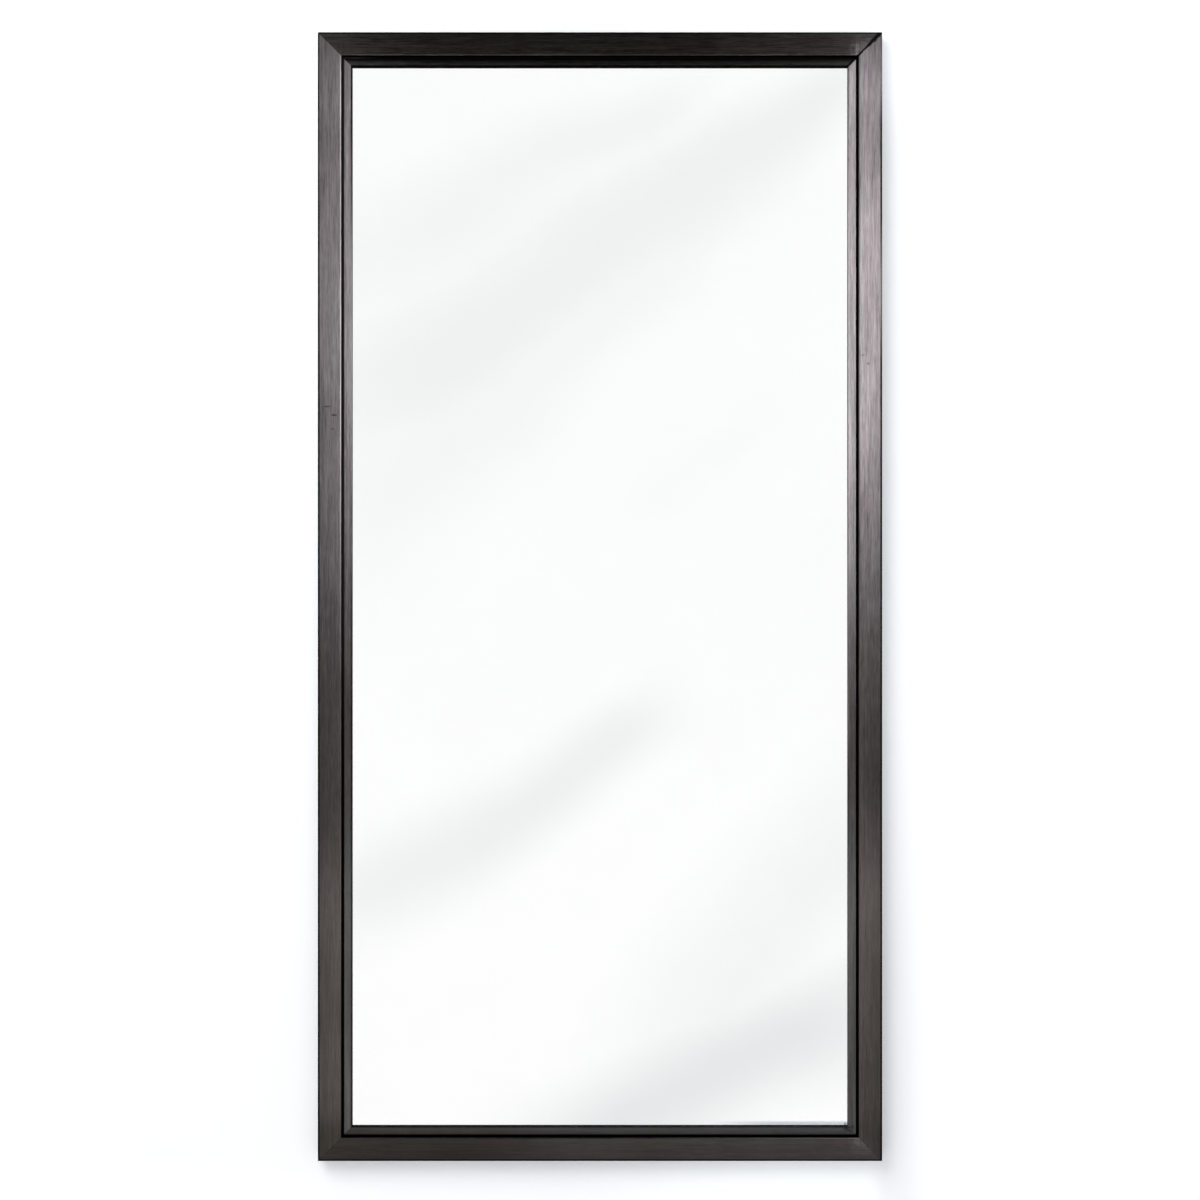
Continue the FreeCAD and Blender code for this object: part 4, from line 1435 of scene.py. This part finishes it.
# Soft grey streaks that the glass shows: both ends on the mirror, as (x, z) in metres from its middle,
# then half the width at each end and the depth of grey.
SHEEN_STREAKS = (
    ((-0.44, 0.27), (0.44, 0.86), 0.21, 0.10, 0.50),
    ((-0.44, 0.52), (0.16, 0.80), 0.20, 0.10, 0.36),
    ((-0.44, 0.06), (0.14, 0.58), 0.20, 0.10, 0.30),
    ((-0.44, -0.50), (0.10, -0.17), 0.13, 0.10, 0.58),
    ((-0.10, -0.90), (0.46, -0.66), 0.16, 0.16, 0.95),
    ((0.06, -0.84), (0.46, -0.28), 0.22, 0.16, 0.40),
    ((0.06, 0.14), (0.26, 0.30), 0.07, 0.06, 0.10),
)


def seen_rays(nodes, glossy=False):
    """1 for the rays that show a backdrop: camera, transmission and, if wanted, glossy rays."""
    path = nodes.outputs(nodes.add("ShaderNodeLightPath"))
    seen = nodes.maths("MAXIMUM", path["Is Camera Ray"], path["Is Transmission Ray"])
    return nodes.maths("MAXIMUM", seen, path["Is Glossy Ray"]) if glossy else seen


def plain_tree(name):
    """A material emptied of its Principled BSDF, its short ways and its output."""
    material = bpy.data.materials.new(name)
    material.use_nodes = True
    tree = material.node_tree
    tree.nodes.remove(tree.nodes["Principled BSDF"])
    return material, Nodes(tree), tree.nodes["Material Output"].inputs["Surface"]


def glow_material(name, level_and_color):
    """A material that only sends out light, of the level and colour that a function makes."""
    material, nodes, surface = plain_tree(name)
    level, color = level_and_color(nodes, nodes.place())
    nodes.feed(surface, nodes.out("ShaderNodeEmission", {"Color": color, "Strength": level}))
    return material


def backdrop_material(name, base, lift, one_sided):
    """Pale matt paint that shows near white and keeps the object's shadow, with painted light that varies by
    place.
    """
    material, nodes, surface = plain_tree(name)
    x, _, z = nodes.axes(nodes.place())
    # Painted light: the camera's glow varies by place, to lighten and shape the shadow below and beside the
    # frame
    below = nodes.span(x, -0.1, 0.35, lift * 0.81, lift * 1.2)
    below = below + nodes.span(z, -0.925, -0.955, 0.0, lift * 0.12)
    beside = nodes.span(z, -0.75, 0.0, lift * 0.9, lift * 1.18)
    beside = beside + nodes.span(z, 0.7, 0.9, 0.0, lift * 0.4)
    beside = nodes.blend(nodes.span(x, 0.49, 0.56), beside, lift * 1.25)
    lifted = nodes.blend(nodes.span(x, 0.43, 0.47), below, beside)
    diffuse = nodes.out("ShaderNodeBsdfDiffuse", {"Color": base})
    level = seen_rays(nodes) * lifted
    glow = nodes.out("ShaderNodeEmission", {"Color": (0.90, 0.95, 1.0), "Strength": level})
    shader = nodes.out("ShaderNodeAddShader", {0: diffuse, 1: glow})
    if one_sided:
        behind = nodes.out("ShaderNodeNewGeometry", output="Backfacing")
        shown = seen_rays(nodes) * (1.0 - behind)
        clear = nodes.out("ShaderNodeBsdfTransparent")
        shader = nodes.out("ShaderNodeMixShader", {0: shown, 1: clear, 2: shader})
    nodes.feed(surface, shader)
    return material


def card_piece(name, corners, material):
    """A flat stage card from four corners."""
    piece = mesh_piece(name, corners, [(0, 1, 2, 3)], closed=False)
    paint(piece, material)
    return piece


def upright_corners(half, y, low, high):
    return [(-half, y, low), (half, y, low), (half, y, high), (-half, y, high)]


def show_only_to(piece, *kinds):
    """Hides a piece from all but the named kinds of ray."""
    for kind in ("camera", "diffuse", "glossy", "transmission", "shadow"):
        setattr(piece, "visible_" + kind, kind in kinds)


def streak(nodes, x, z, ends, scale):
    """A soft slanting streak between two points, as a value from 0 to its depth."""
    start, end, width_start, width_end, depth = ends
    start_soft = width_start * scale
    end_soft = width_end * scale
    run = (Vector(end) - Vector(start)) * scale
    length = run.length
    run.normalize()
    from_x = x - start[0] * scale
    from_z = z - start[1] * scale
    along = from_x * run.x + from_z * run.y
    across = from_z * run.x - from_x * run.y
    width = nodes.span(along, 0.0, length, start_soft, end_soft)
    near = nodes.span(abs(across) / width, 1.0, 0.0)
    fade = nodes.span(along, -start_soft, start_soft)
    fade = fade * nodes.span(along, length + end_soft, length - end_soft)
    return near * fade * depth


def sheen_light(scale):
    """White with soft slanting grey streaks, for the card that only the glass shows."""
    def light(nodes, place):
        x, _, z = nodes.axes(place)
        drift = nodes.noise(nodes.scaled(place, (1.0, 0.0, 1.0)), 0.9, detail=1.0)
        z = z + (drift - 0.5) * 0.45
        grey = streak(nodes, x, z, SHEEN_STREAKS[0], scale)
        for ends in SHEEN_STREAKS[1:]:
            grey = nodes.maths("MAXIMUM", grey, streak(nodes, x, z, ends, scale))
        scene = bpy.context.scene
        return scene.mirror_stage.sheen_level, nodes.mix(grey, WHITE, scene.mirror_glass.sheen)

    return light


# Light beside the mirror's reflection of the studio, as (height, level) from the floor up
LEFT_LIGHT = (
    (-1.4, 0.60), (-0.92, 0.66), (-0.74, 0.85), (-0.62, 0.64), (-0.52, 0.20), (-0.27, 0.22), (-0.12, 0.30),
    (0.02, 0.50), (0.15, 0.95), (0.28, 1.20), (0.40, 1.08), (0.55, 1.80), (0.65, 1.60), (0.80, 1.95),
    (0.95, 1.60), (1.17, 1.08), (1.5, 0.70),
)
RIGHT_LIGHT = (
    (-1.4, 0.38), (-0.92, 0.38), (-0.74, 1.10), (-0.64, 1.20), (-0.52, 0.22), (-0.30, 0.13), (-0.12, 0.22),
    (0.02, 1.10), (0.15, 2.20), (0.28, 3.60), (0.42, 5.40), (0.65, 4.60), (0.85, 5.40), (1.0, 3.90),
    (1.17, 2.30), (1.5, 1.00),
)
LIGHT_FOOT = -1.4
LIGHT_HEAD = 1.6


def light_profile(nodes, z, stops):
    """The level at a height, from (height, level) stops."""
    top = max(level for height, level in stops)
    share = nodes.span(z, LIGHT_FOOT, LIGHT_HEAD, smooth=False)
    reach = LIGHT_HEAD - LIGHT_FOOT
    return nodes.curve(share, [((height - LIGHT_FOOT) / reach, level / top) for height, level in stops]) * top


def room_tint(nodes, z):
    """Warm light from the floor, a little cooler above."""
    return nodes.mix(nodes.span(z, -0.7, 0.2), (1.0, 0.955, 0.88), (1.0, 0.985, 1.0))


def room_light(nodes, place):
    """How bright the studio is round the frame: soft boxes at the sides, and dim flags between them."""
    stage = bpy.context.scene.mirror_stage
    x, _, z = nodes.axes(place)
    flag = nodes.span(z, 1.0, 1.35, stage.flag_half_width, stage.flag_half_width + 0.14)
    right = light_profile(nodes, z, RIGHT_LIGHT) * stage.right_level
    left = light_profile(nodes, z, LEFT_LIGHT) * stage.left_level
    beside = nodes.span(abs(x), flag, flag + stage.flag_soft)
    boxes = nodes.blend(nodes.maths("GREATER_THAN", x, 0.0), left, right)
    middle = nodes.span(z, 0.4, -0.9, stage.ceiling_level, stage.floor_level)
    return nodes.blend(beside, middle, boxes), room_tint(nodes, z)


def rear_light(nodes, place):
    """How bright the studio is behind the wall, which only the back of the mirror reflects."""
    x, y, z = nodes.axes(place)
    rise = nodes.span(z, -0.8, 1.4, 0.22, 0.95)
    sideways = nodes.span(x, -1.6, 1.6, 0.75, 1.25)
    deep = nodes.span(y, 0.3, 1.2, 0.3, 1.0)
    return rise * sideways * deep, room_tint(nodes, z)


# How far both rooms reach: to each side and up from the mirror's middle, and down from it
ROOM_HALF = 2.0
ROOM_FLOOR = -1.9


def room_piece(name, y_wall, y_open, light):
    """A five-sided box of soft light that only metal reflects, open towards the mirror."""
    corners = box_corners((-ROOM_HALF, y_wall, ROOM_FLOOR), (ROOM_HALF, y_open, ROOM_HALF))
    piece = mesh_piece(name, corners, BOX_WALLS)
    paint(piece, glow_material(name + "_glow", light))
    show_only_to(piece, "glossy")


def area_lamp(name, place, size, power, color):
    """A square lamp that points at the mirror's middle."""
    lamp = bpy.data.lights.new(name, "AREA")
    lamp.shape = "SQUARE"
    lamp.size = size
    lamp.energy = power
    lamp.color = color
    holder = linked(name, lamp)
    holder.location = place
    holder.rotation_euler = (-Vector(place)).to_track_quat("-Z", "Y").to_euler()
    show_only_to(holder, "diffuse", "shadow")


class MIRROR_OT_stage(Operator):
    """Set up the wall, floor, cards, lamps, world and camera"""

    bl_idname = "mirror.stage"
    bl_label = "Stage"

    def execute(self, context):
        scene = context.scene
        stage = scene.mirror_stage
        reach = 14.0
        floor_z = -2.05
        wall_y = 0.0004
        wall_paint = backdrop_material("wall_paint", (0.86, 0.86, 0.86), stage.wall_lift, True)
        floor_paint = backdrop_material("floor_paint", (0.82, 0.82, 0.82), stage.wall_lift, False)
        wall = card_piece("stage_wall", upright_corners(reach, wall_y, floor_z, reach), wall_paint)
        show_only_to(wall, "camera", "transmission")
        floor_square = ((-reach, -reach), (reach, -reach), (reach, reach), (-reach, reach))
        card_piece("stage_floor", [(x, y, floor_z) for x, y in floor_square], floor_paint)
        sensor_width = 36.0
        distance = stage.view_width * stage.lens / sensor_width
        card_y = -6.0
        card_half = 3.4
        card_scale = 1.0 + (-card_y + TUBE_FRONT) / distance
        sheen = glow_material("sheen_card", sheen_light(card_scale))
        card = card_piece("stage_sheen_card", upright_corners(card_half, card_y, floor_z, card_half), sheen)
        show_only_to(card, "transmission")
        room_piece("stage_room", y_wall=-1.6, y_open=0.3, light=room_light)
        room_piece("stage_rear_room", y_wall=1.8, y_open=0.31, light=rear_light)
        area_lamp("key_lamp", (-1.8, -2.6, 1.95), size=2.9, power=stage.key_power, color=(1.0, 0.99, 0.97))
        area_lamp("fill_lamp", (-0.5, -3.2, -0.2), size=2.8, power=stage.fill_power, color=(0.98, 0.99, 1.0))
        area_lamp("rear_lamp", (1.5, 2.6, 2.0), size=2.0, power=stage.rear_power, color=WHITE)
        world = bpy.data.worlds.new("studio_world")
        scene.world = world
        world.use_nodes = True
        nodes = Nodes(world.node_tree)
        sky = world.node_tree.nodes["Background"].inputs
        nodes.feed(sky["Color"], (0.96, 0.98, 1.0))
        nodes.feed(sky["Strength"], nodes.blend(seen_rays(nodes, glossy=True), 0.4, 1.0))
        camera = bpy.data.cameras.new("camera")
        camera.lens = stage.lens
        camera.sensor_width = sensor_width
        holder = linked("camera", camera)
        holder.location = (0.0, TUBE_FRONT - distance, -stage.aim_drop)
        holder.rotation_euler = (QUARTER_TURN, 0.0, 0.0)
        scene.camera = holder
        scene.view_settings.view_transform = "Standard"
        return {"FINISHED"}


OPERATORS = (
    MIRROR_OT_outer_bars,
    MIRROR_OT_liner,
    MIRROR_OT_glazing,
    MIRROR_OT_welds,
    MIRROR_OT_turn_buttons,
    MIRROR_OT_hangers,
    MIRROR_OT_screws,
    MIRROR_OT_bumpers,
    MIRROR_OT_stage,
)


class MIRROR_PT_sidebar(Panel):
    """Lists the steps in the order they run"""

    bl_label = "Wall mirror"
    bl_idname = "MIRROR_PT_sidebar"
    bl_space_type = "VIEW_3D"
    bl_region_type = "UI"
    bl_category = "Mirror"

    def draw(self, context):
        for operator in OPERATORS:
            self.layout.operator(operator.bl_idname)
        for name in SETTINGS:
            settings = getattr(context.scene, name)
            box = self.layout.box()
            for key in settings.__annotations__:
                box.prop(settings, key)


def register():
    for name, group in SETTINGS.items():
        bpy.utils.register_class(group)
        setattr(bpy.types.Scene, name, PointerProperty(type=group))
    for operator in OPERATORS:
        bpy.utils.register_class(operator)
    bpy.utils.register_class(MIRROR_PT_sidebar)


def unregister():
    bpy.utils.unregister_class(MIRROR_PT_sidebar)
    for operator in reversed(OPERATORS):
        bpy.utils.unregister_class(operator)
    for name, group in SETTINGS.items():
        delattr(bpy.types.Scene, name)
        bpy.utils.unregister_class(group)


def main():
    register()
    make_groups()
    bpy.ops.mirror.stage()
    bpy.ops.mirror.outer_bars()
    bpy.ops.mirror.liner()
    bpy.ops.mirror.glazing()
    bpy.ops.mirror.welds()
    bpy.ops.mirror.turn_buttons()
    bpy.ops.mirror.hangers()
    bpy.ops.mirror.screws()
    bpy.ops.mirror.bumpers()


if __name__ == "__main__":
    main()
